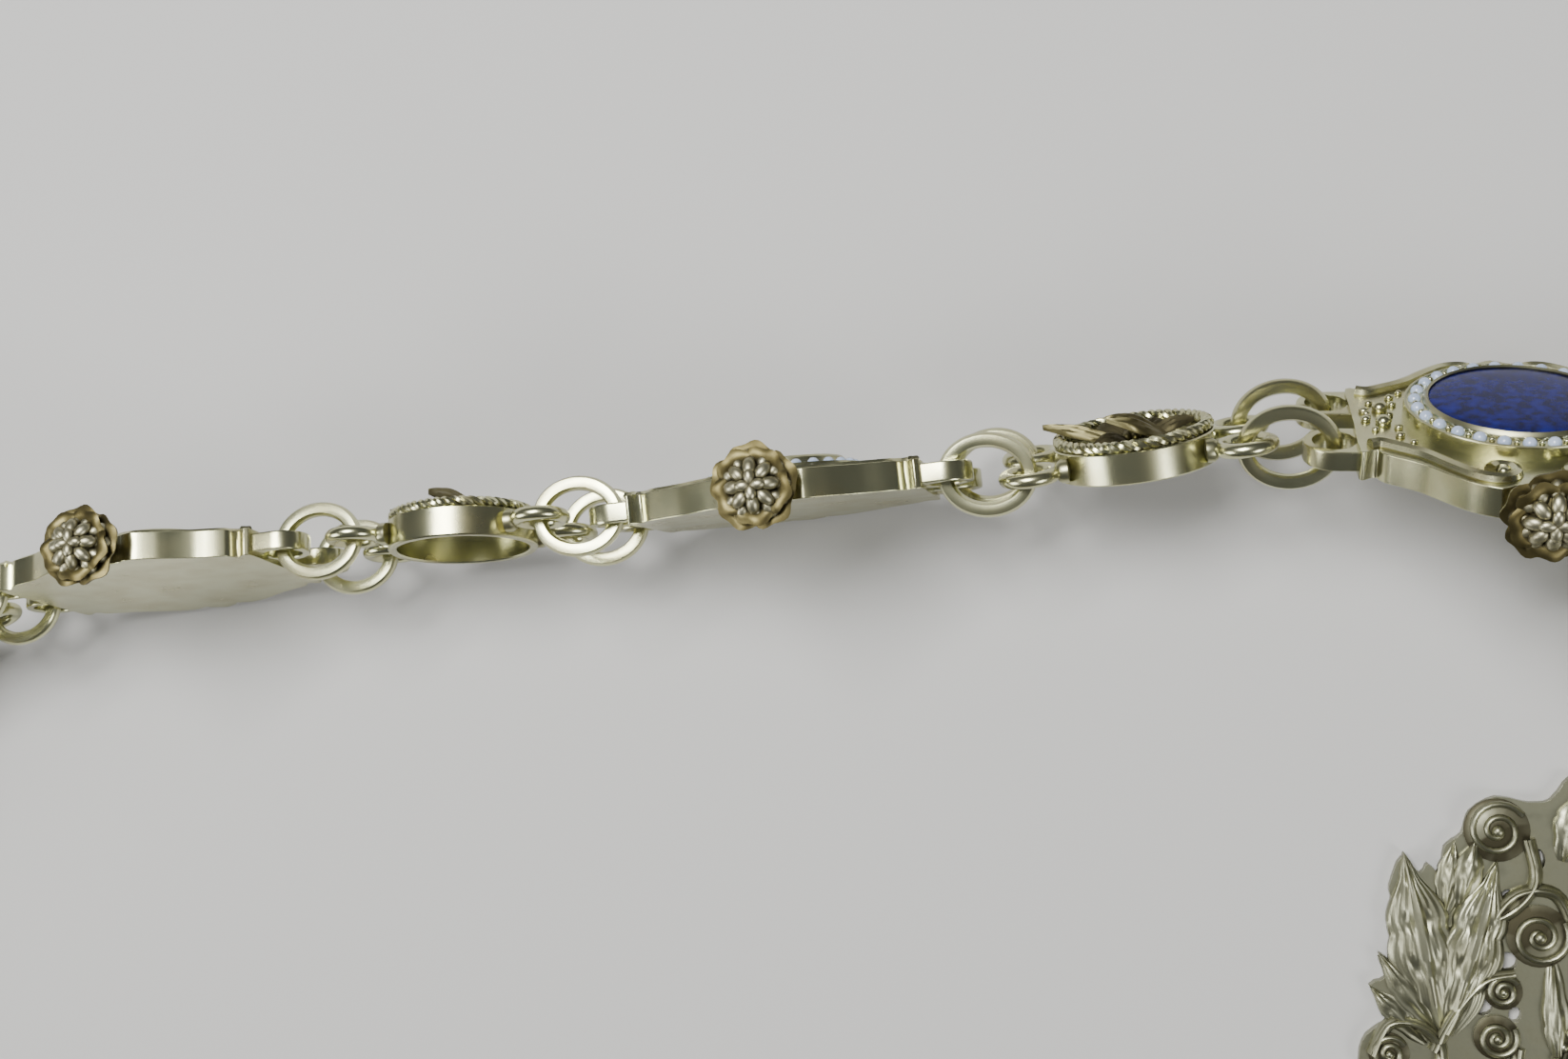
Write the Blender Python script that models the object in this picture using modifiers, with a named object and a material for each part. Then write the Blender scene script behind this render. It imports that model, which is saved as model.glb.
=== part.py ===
"""A mayoral chain of office: large links and drum links joined by pairs of oval rings, and a pierced badge.

The chain is one closed loop that stands on its edges, with its faces outward, and the badge lies inside it.
+X runs along the front stretch, +Y is the way its faces look and +Z is up. Lengths are in metres.
"""

import math

import bmesh
import bpy
from mathutils import Matrix, Vector

MM = 0.001
FIT_GAP = 0.3 * MM
FLAT_ANGLE = math.radians(0.2)

# How many large links there are, with a drum link after each
LINK_PAIRS = 11

# Large link, lying on its back: length along x, width along y, front face up
LINK_LENGTH = 40.5 * MM
LINK_WIDTH = 35.0 * MM
LINK_THICK = 4.0 * MM
CENTRE_LENGTH = 40.5 * MM
CENTRE_DOWN = 21.5 * MM
KNOB_RADIUS = 2.4 * MM
KNOB_REACH = 2.0 * MM

# Lugs at both ends of a large link, a pair at each
LUG_HOLE_REACH = 23.0 * MM
LUG_SPREAD = 12.4 * MM
LUG_THICK = 2.8 * MM
LUG_HOLE = 5.4 * MM
LUG_WALL = 1.2 * MM

# Round setting on the front of a large link
SETTING_DIAMETER = 23.5 * MM
SETTING_HEIGHT = 2.2 * MM
CENTRE_SETTING_DIAMETER = 27.8 * MM
CENTRE_SETTING_HEIGHT = 2.6 * MM
BEZEL_SHARE = 0.84
BEZEL_WALL = 0.9 * MM
STONE_RISE = 1.6 * MM

# Rose on the worn-down edge of a large link
ROSE_DIAMETER = 11.5 * MM
ROSE_HEIGHT = 7.0 * MM
ROSE_WALL = 0.8 * MM
ROSE_STEM = 3.4 * MM
PETALS = 5

# Drum link: a shallow drum, open at the back, with four eyes
DRUM_DIAMETER = 21.5 * MM
DRUM_HEIGHT = 4.3 * MM
DRUM_WALL = 2.2 * MM
DRUM_PLATE = 1.2 * MM
ROPE_WIRE = 1.5 * MM
BOSS_DIAMETER = 10.0 * MM
BOSS_RISE = 1.4 * MM
EYE_HOLE_REACH = 14.0 * MM
EYE_HOLE = 4.6 * MM
EYE_WIRE = 2.0 * MM

# Oval joining ring
RING_LENGTH = 13.4 * MM
RING_WIDTH = 11.5 * MM
RING_WIRE = 2.1 * MM

# Badge, lying face up
BADGE_WIDTH = 82.0 * MM
BADGE_HEIGHT = 96.0 * MM
BADGE_THICK = 2.4 * MM
BAND = 2.2 * MM
ROUNDEL_WIDTH = 27.0 * MM
ROUNDEL_HEIGHT = 35.0 * MM
ROUNDEL_THICK = 1.8 * MM
BAIL_DIAMETER = 8.8 * MM
BAIL_WIRE = 1.8 * MM
BAIL_TURN = math.radians(18)

# Plain rings between the loop on the centre link's back and the badge's bail
HANGER_RINGS = 5
HANGER_LENGTH = 12.4 * MM
HANGER_WIDTH = 10.5 * MM
HANGER_WIRE = 1.8 * MM
HANGER_BEND = 0.2
LOOP_ALONG = 13.0 * MM
LOOP_DOWN = 12.0 * MM
LOOP_BEHIND = 3.7 * MM

# Where the chain lies, as shares of one large link and one drum link laid straight
ROUTE = [
    (0.31, -0.02), (0.0, 0.0), (-0.29, -0.01), (-0.69, -0.065), (-1.275, -0.135), (-1.68, -0.175),
    (-2.20, -0.235), (-2.63, -0.42), (-2.96, -0.75), (-3.12, -1.18), (-3.06, -1.62), (-2.82, -1.99),
    (-2.42, -2.24), (-1.90, -2.36), (-1.34, -2.40), (-0.78, -2.39), (-0.24, -2.32), (0.28, -2.16),
    (0.72, -1.87), (1.02, -1.46), (1.11, -0.98), (0.98, -0.53), (0.68, -0.18),
]

# The badge's middle, as shares of the same length
BADGE_PLACE = (0.253, -0.973)

# How far each link's front tips up, in degrees, by its place from the centre link: drums at the halves
LEANS = {
    -3.0: -6.0, -2.5: -9.0, -2.0: -12.0, -1.5: -11.0, -1.0: -3.0, -0.5: 14.0,
    0.0: 27.0, 0.5: 18.0, 1.0: 9.0, 1.5: 4.0,
}

# Drums this near the centre link have their rings as pieces of their own
LOOSE_RING_DRUMS = (-2.5, -1.5, -0.5, 0.5)

for old in list(bpy.data.objects):
    bpy.data.objects.remove(old, do_unlink=True)

chain = bpy.data.collections.new("chain_of_office")
cutters = bpy.data.collections.new("cutters")
bpy.context.scene.collection.children.link(chain)
bpy.context.scene.collection.children.link(cutters)


def finish_of(name, colour, roughness, metallic):
    """A plain Principled finish."""
    material = bpy.data.materials.new(name)
    material.use_nodes = True
    shader = material.node_tree.nodes["Principled BSDF"]
    shader.inputs["Base Color"].default_value = (*colour, 1.0)
    shader.inputs["Roughness"].default_value = roughness
    shader.inputs["Metallic"].default_value = metallic
    return material


gilt = finish_of("silver_gilt", (0.80, 0.72, 0.50), 0.28, 1.0)
rose_gilt = finish_of("rose_gilt", (0.62, 0.47, 0.26), 0.42, 1.0)
satin_gilt = finish_of("satin_gilt", (0.84, 0.80, 0.68), 0.45, 1.0)
blue_stone = finish_of("blue_stone", (0.02, 0.05, 0.30), 0.15, 0.0)


def new_object(name, mesh, collection):
    """An object that shows this mesh."""
    thing = bpy.data.objects.new(name, mesh)
    collection.objects.link(thing)
    if collection is cutters:
        thing.hide_render = True
        thing.display_type = "WIRE"
    return thing


def baked(thing, name):
    """The mesh of an object with its curve and modifiers made real, in few faces; the object goes."""
    bpy.context.view_layer.update()
    graph = bpy.context.evaluated_depsgraph_get()
    mesh = bpy.data.meshes.new_from_object(thing.evaluated_get(graph))
    mesh.transform(thing.matrix_world)
    bpy.data.objects.remove(thing, do_unlink=True)
    mesh.name = name
    welded = bmesh.new()
    welded.from_mesh(mesh)
    bmesh.ops.remove_doubles(welded, verts=welded.verts, dist=0.001 * MM)
    bmesh.ops.dissolve_limit(welded, angle_limit=FLAT_ANGLE, verts=welded.verts, edges=welded.edges)
    bmesh.ops.triangulate(welded, faces=welded.faces)
    welded.to_mesh(mesh)
    welded.free()
    return mesh


def plate(name, outlines, thick, base=0.0):
    """A flat piece from closed outlines, the later ones holes, with its lower face at base."""
    curve = bpy.data.curves.new(name, "CURVE")
    curve.dimensions = "2D"
    curve.fill_mode = "BOTH"
    curve.extrude = thick / 2
    for outline in outlines:
        spline = curve.splines.new("POLY")
        spline.points.add(len(outline) - 1)
        spline.use_cyclic_u = True
        for point, (x, y) in zip(spline.points, outline):
            point.co = (x, y, 0.0, 1.0)
    thing = new_object(name, curve, cutters)
    thing.location.z = base + thick / 2
    return baked(thing, name)


def turned(name, profile, sides):
    """A turned piece from (radius, height) points that run down its outer side."""
    mesh = bpy.data.meshes.new(name)
    points = [(radius, 0.0, height) for radius, height in profile]
    mesh.from_pydata(points, [(i, i + 1) for i in range(len(points) - 1)], [])
    thing = new_object(name, mesh, cutters)
    screw = thing.modifiers.new("turn", "SCREW")
    screw.steps = screw.render_steps = sides
    screw.use_merge_vertices = True
    screw.merge_threshold = 0.01 * MM
    return baked(thing, name)


def joined(name, meshes, operation="UNION"):
    """One mesh from the first of these, with the others joined to it or cut from it."""
    body = new_object(name, meshes[0], cutters)
    others = [new_object(f"{name}_{i}", mesh, cutters) for i, mesh in enumerate(meshes[1:])]
    for other in others:
        step = body.modifiers.new(other.name, "BOOLEAN")
        step.operation = operation
        step.solver = "EXACT"
        step.object = other
    mesh = baked(body, name)
    for other in others:
        bpy.data.objects.remove(other, do_unlink=True)
    return mesh


def moved(mesh, matrix):
    """A copy of a mesh, moved."""
    copy = mesh.copy()
    copy.transform(matrix)
    return copy


def circle(radius, sides, centre=(0.0, 0.0), turn=0.0):
    """Points round a circle."""
    steps = [turn + 2 * math.pi * i / sides for i in range(sides)]
    return [(centre[0] + radius * math.cos(a), centre[1] + radius * math.sin(a)) for a in steps]


def oval(width, height, sides, centre=(0.0, 0.0)):
    """Points round an upright oval."""
    steps = [2 * math.pi * (i + 0.5) / sides for i in range(sides)]
    return [(centre[0] + width / 2 * math.cos(a), centre[1] + height / 2 * math.sin(a)) for a in steps]


def oval_ring(name, length, width, wire, sides=10, wire_sides=5):
    """A round-wire ring, longer along x, from a torus whose middle line is drawn out."""
    half_length = (length - wire) / 2
    half_width = (width - wire) / 2
    bpy.ops.mesh.primitive_torus_add(
        major_segments=sides, minor_segments=wire_sides, major_radius=half_width, minor_radius=wire / 2
    )
    torus = bpy.context.object
    for vertex in torus.data.vertices:
        along = vertex.co.x / math.hypot(vertex.co.x, vertex.co.y)
        vertex.co.x += (half_length - half_width) * along
    return baked(torus, name)


# Large links

# A quarter of a large link's outline from its end to its middle, as shares of half its length and width
LINK_EDGE = [
    (1.0, 0.12), (1.0, 0.63), (0.90, 0.60), (0.84, 0.69),
    (0.62, 0.79), (0.42, 0.93), (0.26, 1.0), (0.13, 0.95),
]
CENTRE_EDGE = [
    (1.0, 0.10), (1.0, 0.51), (0.90, 0.49), (0.85, 0.56),
    (0.66, 0.68), (0.44, 0.90), (0.26, 1.0), (0.13, 0.95),
]
SEAT = LINK_EDGE[-1][1]


# The knobs of the large links, and of the centre link as it leans, stand on the same floor
STAND = LINK_WIDTH / 2 * SEAT + KNOB_REACH
CENTRE_LEAN = math.radians(LEANS[0.0])
CENTRE_STAND = (STAND - LINK_THICK / 2 * math.sin(CENTRE_LEAN)) / math.cos(CENTRE_LEAN)
CENTRE_UP = (CENTRE_STAND - KNOB_REACH) / SEAT


def link_outline(edge, length, down, up):
    """The whole outline of a link, with the knob that it stands on at its upper worn edge."""
    lower = [(x * length / 2, -y * down) for x, y in reversed(edge)]
    upper = [(x * length / 2, y * up) for x, y in edge]
    knob = [
        (KNOB_RADIUS * math.cos(a), up * SEAT + KNOB_REACH * math.sin(a))
        for a in (math.radians(d) for d in (20, 90, 160))
    ]
    left = [(-x, y) for x, y in reversed(lower + upper)]
    return lower + upper + knob + left


# The middle of the loop on the centre link's back
LOOP_PLACE = Vector((LOOP_ALONG, -LOOP_DOWN, -LINK_THICK / 2 - LOOP_BEHIND))


def link_mesh(name, outline, length, setting_diameter, setting_height, stone_fused):
    """A large link: its body, its four lugs and the round setting on its front."""
    pieces = [plate(name, [outline], LINK_THICK, -LINK_THICK / 2)]
    lug_radius = LUG_HOLE / 2 + LUG_WALL
    inner = length / 2 - LUG_WALL
    for end in (-1, 1):
        for side in (-1, 1):
            middle = (end * LUG_HOLE_REACH, side * LUG_SPREAD / 2)
            turns = [math.radians(d) for d in (-75, 0, 75)]
            nose = [
                (middle[0] + end * lug_radius * math.cos(a), middle[1] + lug_radius * math.sin(a))
                for a in turns
            ]
            root = [
                (end * inner, middle[1] + lug_radius),
                (end * inner, middle[1] - lug_radius),
            ]
            hole = circle(LUG_HOLE / 2, 6, middle)
            pieces.append(plate(f"{name}_lug", [nose + root, hole], LUG_THICK, -LUG_THICK / 2))
    top = LINK_THICK / 2
    outer = setting_diameter / 2
    bezel = outer * BEZEL_SHARE
    sunk = top - LINK_THICK / 4
    if stone_fused:
        profile = [
            (0.0, top + setting_height + STONE_RISE / 2),
            (bezel, top + setting_height),
            (outer, top + setting_height * 0.4),
            (outer, sunk),
            (0.0, sunk),
        ]
    else:
        profile = [
            (0.0, top + BEZEL_WALL),
            (bezel - BEZEL_WALL, top + BEZEL_WALL),
            (bezel - BEZEL_WALL, top + setting_height),
            (bezel, top + setting_height),
            (bezel, top + setting_height * 0.6),
            (outer, top + setting_height * 0.6),
            (outer, sunk),
            (0.0, sunk),
        ]
    pieces.append(turned(f"{name}_setting", profile, 12 if stone_fused else 16))
    if not stone_fused:
        loop = oval_ring(f"{name}_loop", BAIL_DIAMETER, BAIL_DIAMETER, BAIL_WIRE)
        loop.transform(Matrix.Rotation(math.radians(90), 4, "Y"))
        pieces.append(moved(loop, Matrix.Translation(LOOP_PLACE)))
    return joined(name, pieces)


def stone_mesh():
    """The centre link's round blue cabochon, which sits inside the bezel."""
    radius = CENTRE_SETTING_DIAMETER / 2 * BEZEL_SHARE - BEZEL_WALL - FIT_GAP
    base = LINK_THICK / 2 + BEZEL_WALL + FIT_GAP
    girdle = LINK_THICK / 2 + CENTRE_SETTING_HEIGHT - BEZEL_WALL / 3
    profile = [
        (0.0, girdle + STONE_RISE),
        (radius * 0.65, girdle + STONE_RISE * 0.65),
        (radius, girdle),
        (radius, base),
        (0.0, base),
    ]
    return turned("centre_stone", profile, 16)


def rose_mesh():
    """A rose: an open cup of petals on a short stem, standing up from its base at the origin."""
    cup_base = ROSE_HEIGHT * 0.35
    rim = ROSE_DIAMETER / 2
    profile = [
        (0.0, ROSE_HEIGHT * 0.95),
        (rim * 0.5, ROSE_HEIGHT * 0.72),
        (rim - ROSE_WALL, ROSE_HEIGHT),
        (rim, ROSE_HEIGHT * 0.94),
        (ROSE_STEM / 2, cup_base * 0.8),
        (ROSE_STEM / 2, 0.0),
        (0.0, 0.0),
    ]
    rose = turned("rose", profile, 2 * PETALS)
    for vertex in rose.vertices:
        if vertex.co.z > cup_base * 1.2:
            lobe = math.cos(PETALS * math.atan2(vertex.co.y, vertex.co.x))
            reach = min(1.0, math.hypot(vertex.co.x, vertex.co.y) / rim)
            vertex.co.x *= 1 + 0.06 * lobe * reach
            vertex.co.y *= 1 + 0.06 * lobe * reach
    return rose


# Drum links and rings

RING_REACH = RING_LENGTH - RING_WIRE


def drum_mesh(name, rings):
    """A drum link with its four eyes. Any rings given are fused to it, on stalks in place of eyes."""
    top = DRUM_HEIGHT / 2
    outer = DRUM_DIAMETER / 2
    inner = outer - DRUM_WALL
    rope_inner = outer - ROPE_WIRE * 1.2
    boss = BOSS_DIAMETER / 2
    profile = [
        (0.0, top + BOSS_RISE),
        (boss, top),
        (rope_inner, top),
        (rope_inner + ROPE_WIRE / 2, top + ROPE_WIRE * 0.85),
        (outer, top),
        (outer, -top),
        (inner, -top),
        (inner, top - DRUM_PLATE),
        (0.0, top - DRUM_PLATE),
    ]
    pieces = [turned(name, profile, 12)]
    eye_outer = EYE_HOLE / 2 + EYE_WIRE
    for end in (-1, 1):
        for side in (-1, 1):
            middle = (end * EYE_HOLE_REACH, side * LUG_SPREAD / 2)
            root = math.sqrt(outer**2 - (LUG_SPREAD / 2) ** 2) - DRUM_WALL * 0.4
            if rings:
                reach = end * (EYE_HOLE_REACH + RING_WIRE * 0.2)
                half = EYE_WIRE / 2
                corners = [(reach, middle[1] + half), (reach, middle[1] - half)]
                heel = [(end * root, middle[1] - half), (end * root, middle[1] + half)]
                pieces.append(plate(f"{name}_stalk", [corners + heel], EYE_WIRE * 0.6, -EYE_WIRE * 0.3))
                continue
            turns = [math.radians(d) for d in (-75, -25, 25, 75)]
            nose = [
                (middle[0] + end * eye_outer * math.cos(a), middle[1] + eye_outer * math.sin(a))
                for a in turns
            ]
            half = eye_outer * 0.9
            heel = [(end * root, middle[1] + half), (end * root, middle[1] - half)]
            hole = circle(EYE_HOLE / 2, 6, middle)
            pieces.append(plate(f"{name}_eye", [nose + heel, hole], EYE_WIRE, -EYE_WIRE / 2))
    return joined(name, pieces + rings)


def frame_matrix(along, front, place):
    """The matrix that lays a link's x along one direction and its face towards another."""
    x = along.normalized()
    z = (front - x * front.dot(x)).normalized()
    y = z.cross(x)
    turn = Matrix((x, y, z)).transposed().to_4x4()
    return Matrix.Translation(place) @ turn


# The chain's way round: large links and drums are laid in turn along a smooth closed curve

LINK_STEP = 2 * LUG_HOLE_REACH + RING_REACH
DRUM_STEP = 2 * EYE_HOLE_REACH + RING_REACH
PAIR_STEP = LINK_STEP + DRUM_STEP
CURVE_STEPS = 24
FAR_SIDE = -0.4


def smooth_loop(points):
    """Close-set points on a closed curve through the given ones."""
    dense = []
    for i in range(len(points)):
        before, start, end, after = (Vector(points[(i + k) % len(points)]) for k in (-1, 0, 1, 2))
        for j in range(CURVE_STEPS):
            t = j / CURVE_STEPS
            slow = 2 * before - 5 * start + 4 * end - after
            fast = 3 * start - before - 3 * end + after
            dense.append(start + 0.5 * t * (end - before + slow * t + fast * t * t))
    return dense


def walked(depth):
    """Hinge points along the route with its far side drawn out by depth, and the length left over."""
    points = []
    for x, y in ROUTE:
        stretched = FAR_SIDE + (y - FAR_SIDE) * depth if y < FAR_SIDE else y
        points.append((x * PAIR_STEP, stretched * PAIR_STEP))
    dense = smooth_loop(points)
    dense.reverse()
    first = Vector((-LINK_STEP / 2, 0.0))
    start = min(range(len(dense)), key=lambda i: (dense[i] - first).length)
    dense = dense[start:] + dense[: start + 1]
    hinges = [dense[0]]
    spent = 1
    for step in range(2 * LINK_PAIRS):
        reach = LINK_STEP if step % 2 == 0 else DRUM_STEP
        while spent < len(dense) and (dense[spent] - hinges[-1]).length < reach:
            spent += 1
        if spent == len(dense):
            return hinges, -1.0
        near = (dense[spent - 1] - hinges[-1]).length
        far = (dense[spent] - hinges[-1]).length
        hinges.append(dense[spent - 1].lerp(dense[spent], (reach - near) / (far - near)))
    return hinges, (dense[-1] - hinges[-1]).length


def closed_walk():
    """The hinge points of the loop whose last link meets its first."""
    low = 0.4
    high = 3.0
    for _ in range(40):
        depth = (low + high) / 2
        if walked(depth)[1] > 0:
            high = depth
        else:
            low = depth
    return walked(high)[0][:-1]


def lean_of(place):
    """How far a link tips, in degrees; links with no row in the table stand straight."""
    return LEANS.get(place, 0.0)


def link_matrices():
    """A matrix for each link in turn from the centre link, with its place: drums are at the halves."""
    hinges = closed_walk()
    found = []
    for step, start in enumerate(hinges):
        end = hinges[(step + 1) % len(hinges)]
        along = Vector((*(end - start), 0.0)).normalized()
        outward = Vector((-along.y, along.x, 0.0))
        place = step / 2 if step <= LINK_PAIRS else step / 2 - LINK_PAIRS
        lean = math.radians(lean_of(place))
        front = outward * math.cos(lean) + Vector((0.0, 0.0, math.sin(lean)))
        middle = (start + end) / 2
        found.append((place, frame_matrix(along, front, Vector((middle.x, middle.y, STAND)))))
    return found


def ring_matrix(link, link_reach, other, other_reach, side):
    """The matrix of the ring through the hole of one link and the facing hole of the next."""
    first = link @ Vector((link_reach, side * LUG_SPREAD / 2, 0.0))
    second = other @ Vector((-other_reach, side * LUG_SPREAD / 2, 0.0))
    axis = (link.to_3x3() @ Vector((0.0, 1.0, 0.0)) + other.to_3x3() @ Vector((0.0, 1.0, 0.0))) / 2
    along = (second - first).normalized()
    front = along.cross(axis).normalized()
    turn = Matrix((along, front, axis - along * axis.dot(along))).transposed()
    turn.col[2] = turn.col[0].cross(turn.col[1])
    return Matrix.Translation((first + second) / 2) @ turn.to_4x4()


def place_part(name, mesh, material, matrix):
    """One piece of the finished chain."""
    thing = new_object(name, mesh, chain)
    if not mesh.materials:
        mesh.materials.append(material)
    thing.matrix_world = matrix
    mesh.shade_smooth()
    mesh.set_sharp_from_angle(angle=math.radians(35))
    return thing


def name_of(place):
    """A plain name for a link by its place from the centre link."""
    if place == 0:
        return "centre_link"
    kind = "large_link" if place == int(place) else "drum_link"
    side = "left" if place < 0 else "right"
    return f"{kind}_{side}_{math.ceil(abs(place))}"


placed = link_matrices()
large_outline = link_outline(LINK_EDGE, LINK_LENGTH, LINK_WIDTH / 2, LINK_WIDTH / 2)
large_mesh = link_mesh("large_link", large_outline, LINK_LENGTH, SETTING_DIAMETER, SETTING_HEIGHT, True)
centre_outline = link_outline(CENTRE_EDGE, CENTRE_LENGTH, CENTRE_DOWN, CENTRE_UP)
centre_mesh = link_mesh(
    "centre_link", centre_outline, CENTRE_LENGTH, CENTRE_SETTING_DIAMETER, CENTRE_SETTING_HEIGHT, False
)
rose = rose_mesh()
ring = oval_ring("joining_ring", RING_LENGTH, RING_WIDTH, RING_WIRE)
fused_ring = oval_ring("fused_ring", RING_LENGTH, RING_WIDTH, RING_WIRE, 8)
open_drum = drum_mesh("drum_link", [])
TURN_DOWN = Matrix.Rotation(math.radians(90), 4, "X")

for step, (place, matrix) in enumerate(placed):
    if step % 2 == 0:
        half_width = LINK_WIDTH / 2 if place else CENTRE_DOWN
        place_part(name_of(place), large_mesh if place else centre_mesh, gilt, matrix)
        seat = Matrix.Translation((0.0, -half_width * SEAT - FIT_GAP, 0.0)) @ TURN_DOWN
        place_part(name_of(place) + "_rose", rose, rose_gilt, matrix @ seat)
        continue
    before = placed[step - 1][1]
    after = placed[(step + 1) % len(placed)][1]
    ends = {
        "left": (before, LUG_HOLE_REACH, matrix, EYE_HOLE_REACH),
        "right": (matrix, EYE_HOLE_REACH, after, LUG_HOLE_REACH),
    }
    rings = {
        f"{end}_{level}_ring": ring_matrix(*ends[end], side)
        for end in ends
        for level, side in (("upper", -1), ("lower", 1))
    }
    if place in LOOSE_RING_DRUMS:
        place_part(name_of(place), open_drum, gilt, matrix)
        for end, at in rings.items():
            place_part(f"{name_of(place)}_{end}", ring, gilt, at)
    else:
        fused = [moved(fused_ring, matrix.inverted() @ at) for at in rings.values()]
        place_part(name_of(place), drum_mesh(name_of(place), fused), gilt, matrix)

place_part("centre_stone", stone_mesh(), blue_stone, placed[0][1])

# Badge: a flat pierced plate of leaves and scrolls, with the forms raised on it, round an oval plate


def leaf(base, tip, width):
    """The outline of a lobed leaf from its base to its tip."""
    shares = [(0.0, 0.2), (0.4, 0.5), (0.8, 0.36)]
    along = Vector(tip) - Vector(base)
    across = Vector((-along.y, along.x)).normalized()

    def at(share, reach):
        return tuple(Vector(base) + along * share + across * (reach * width))

    return [at(t, -w) for t, w in shares] + [tip] + [at(t, w) for t, w in reversed(shares)]


def at_badge(x, y):
    """A point on the badge from its shares of half the badge's width and height."""
    return (x * BADGE_WIDTH / 2, y * BADGE_HEIGHT / 2)


# The left half of the badge's edge, from its top to its foot, as shares of half its width and height
BADGE_EDGE = [
    (-0.09, 0.97), (-0.17, 0.875), (-0.25, 0.93), (-0.32, 0.95), (-0.38, 0.885), (-0.45, 0.875),
    (-0.555, 0.89), (-0.64, 0.845), (-0.665, 0.78), (-0.72, 0.74), (-0.735, 0.66), (-0.775, 0.69),
    (-0.80, 0.66), (-0.86, 0.705), (-0.90, 0.62), (-0.893, 0.57), (-0.905, 0.49), (-0.875, 0.40),
    (-0.935, 0.41), (-0.915, 0.35), (-0.965, 0.325), (-0.91, 0.26), (-0.89, 0.235), (-0.975, 0.18),
    (-1.0, 0.10), (-0.93, 0.02), (-0.88, -0.02), (-0.94, -0.12), (-0.97, -0.26), (-0.90, -0.40),
    (-0.80, -0.52), (-0.74, -0.48), (-0.72, -0.62), (-0.60, -0.76), (-0.52, -0.86), (-0.40, -0.88),
    (-0.30, -0.82), (-0.22, -0.88), (-0.12, -0.93),
]

# The gaps of the left half: middle as shares of half the width and height, and width and height in bands
GAPS = [
    ((-0.425, 0.71), 1.0, 1.5), ((-0.515, 0.605), 0.9, 0.8), ((-0.52, 0.415), 1.3, 1.2),
    ((-0.60, 0.28), 1.4, 1.1), ((-0.495, 0.262), 0.8, 1.0), ((-0.17, 0.64), 1.0, 1.6),
    ((-0.70, 0.05), 1.6, 0.9), ((-0.55, -0.10), 1.3, 1.3), ((-0.76, -0.28), 1.0, 1.6),
    ((-0.54, -0.33), 1.0, 1.4), ((-0.44, -0.57), 1.2, 1.3), ((-0.20, -0.62), 1.0, 1.6),
]

# Raised leaves of the left half: base, tip, width in bands and height in badge thicknesses
LEAVES = [
    ((-0.74, 0.20), (-0.855, 0.68), 3.2, 0.50), ((-0.69, 0.20), (-0.575, 0.68), 3.2, 0.60),
    ((-0.71, 0.60), (-0.67, 0.74), 1.3, 0.40), ((-0.72, 0.19), (-0.92, 0.39), 1.4, 0.40),
    ((-0.40, 0.38), (-0.36, 0.02), 1.8, 0.55), ((-0.34, 0.74), (-0.28, 0.92), 1.8, 0.45),
    ((-0.76, -0.06), (-0.88, -0.42), 2.4, 0.50), ((-0.62, -0.22), (-0.66, -0.66), 2.4, 0.55),
    ((-0.33, -0.56), (-0.16, -0.88), 2.4, 0.50),
]

# Raised scrolls of the left half: middle, and radius in bands
SCROLLS = [
    ((-0.555, 0.795), 1.9), ((-0.42, 0.49), 1.8), ((-0.535, 0.33), 1.1), ((-0.555, 0.195), 1.3),
    ((-0.90, 0.13), 1.2), ((-0.42, -0.40), 1.5), ((-0.43, -0.78), 1.8),
]
CORE_SHARE = 0.62
BAIL_PLACE = BADGE_HEIGHT / 2 + BAIL_WIRE * 0.6


def both_sides(outline):
    """An outline of the left half and its mirror image."""
    return [outline, [(-x, y) for x, y in reversed(outline)]]


def badge_frame_mesh():
    """The badge's pierced frame, flat on its back, with an upright bail at its top."""
    left = [at_badge(x, y) for x, y in BADGE_EDGE]
    edge = [at_badge(0.0, 1.0)] + left + [at_badge(0.0, -1.0)] + [(-x, y) for x, y in reversed(left)]
    holes = [oval(ROUNDEL_WIDTH - 2 * BAND, ROUNDEL_HEIGHT - 2 * BAND, 16)]
    for share, width, height in GAPS:
        holes += both_sides(oval(width * BAND, height * BAND, 5, at_badge(*share)))
    core = BADGE_THICK * CORE_SHARE
    pieces = [plate("badge_frame", [edge] + holes, core)]
    sunk = core / 2
    seat = [oval(ROUNDEL_WIDTH + step, ROUNDEL_HEIGHT + step, 16) for step in (BAND, -BAND)]
    pieces.append(plate("badge_seat", seat, BADGE_THICK - sunk, sunk))
    for base, tip, width, rise in LEAVES:
        for outline in both_sides(leaf(at_badge(*base), at_badge(*tip), width * BAND)):
            pieces.append(plate("badge_leaf", [outline], sunk + BADGE_THICK * rise, sunk))
    for share, radius in SCROLLS:
        reach = radius * BAND
        profile = [(0.0, BADGE_THICK * 1.3), (reach, BADGE_THICK * 0.9), (reach, sunk), (0.0, sunk)]
        boss = turned("badge_scroll", profile, 7)
        for side in (-1, 1):
            x, y = at_badge(*share)
            pieces.append(moved(boss, Matrix.Translation((-side * x, y, 0.0))))
    crest = leaf(at_badge(0.0, 0.40), at_badge(0.0, 0.94), BAND * 3.6)
    pieces.append(plate("badge_crest", [crest], BADGE_THICK, sunk))
    tail = leaf(at_badge(0.0, -0.40), at_badge(0.0, -0.94), BAND * 3.4)
    pieces.append(plate("badge_tail", [tail], BADGE_THICK, sunk))
    bail = oval_ring("badge_bail", BAIL_DIAMETER, BAIL_DIAMETER, BAIL_WIRE)
    bail.transform(Matrix.Rotation(BAIL_TURN, 4, "Z") @ Matrix.Rotation(math.radians(90), 4, "Y"))
    bail.transform(Matrix.Translation((0.0, BAIL_PLACE, BAIL_DIAMETER / 2)))
    return joined("badge_frame", pieces + [bail])


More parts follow.
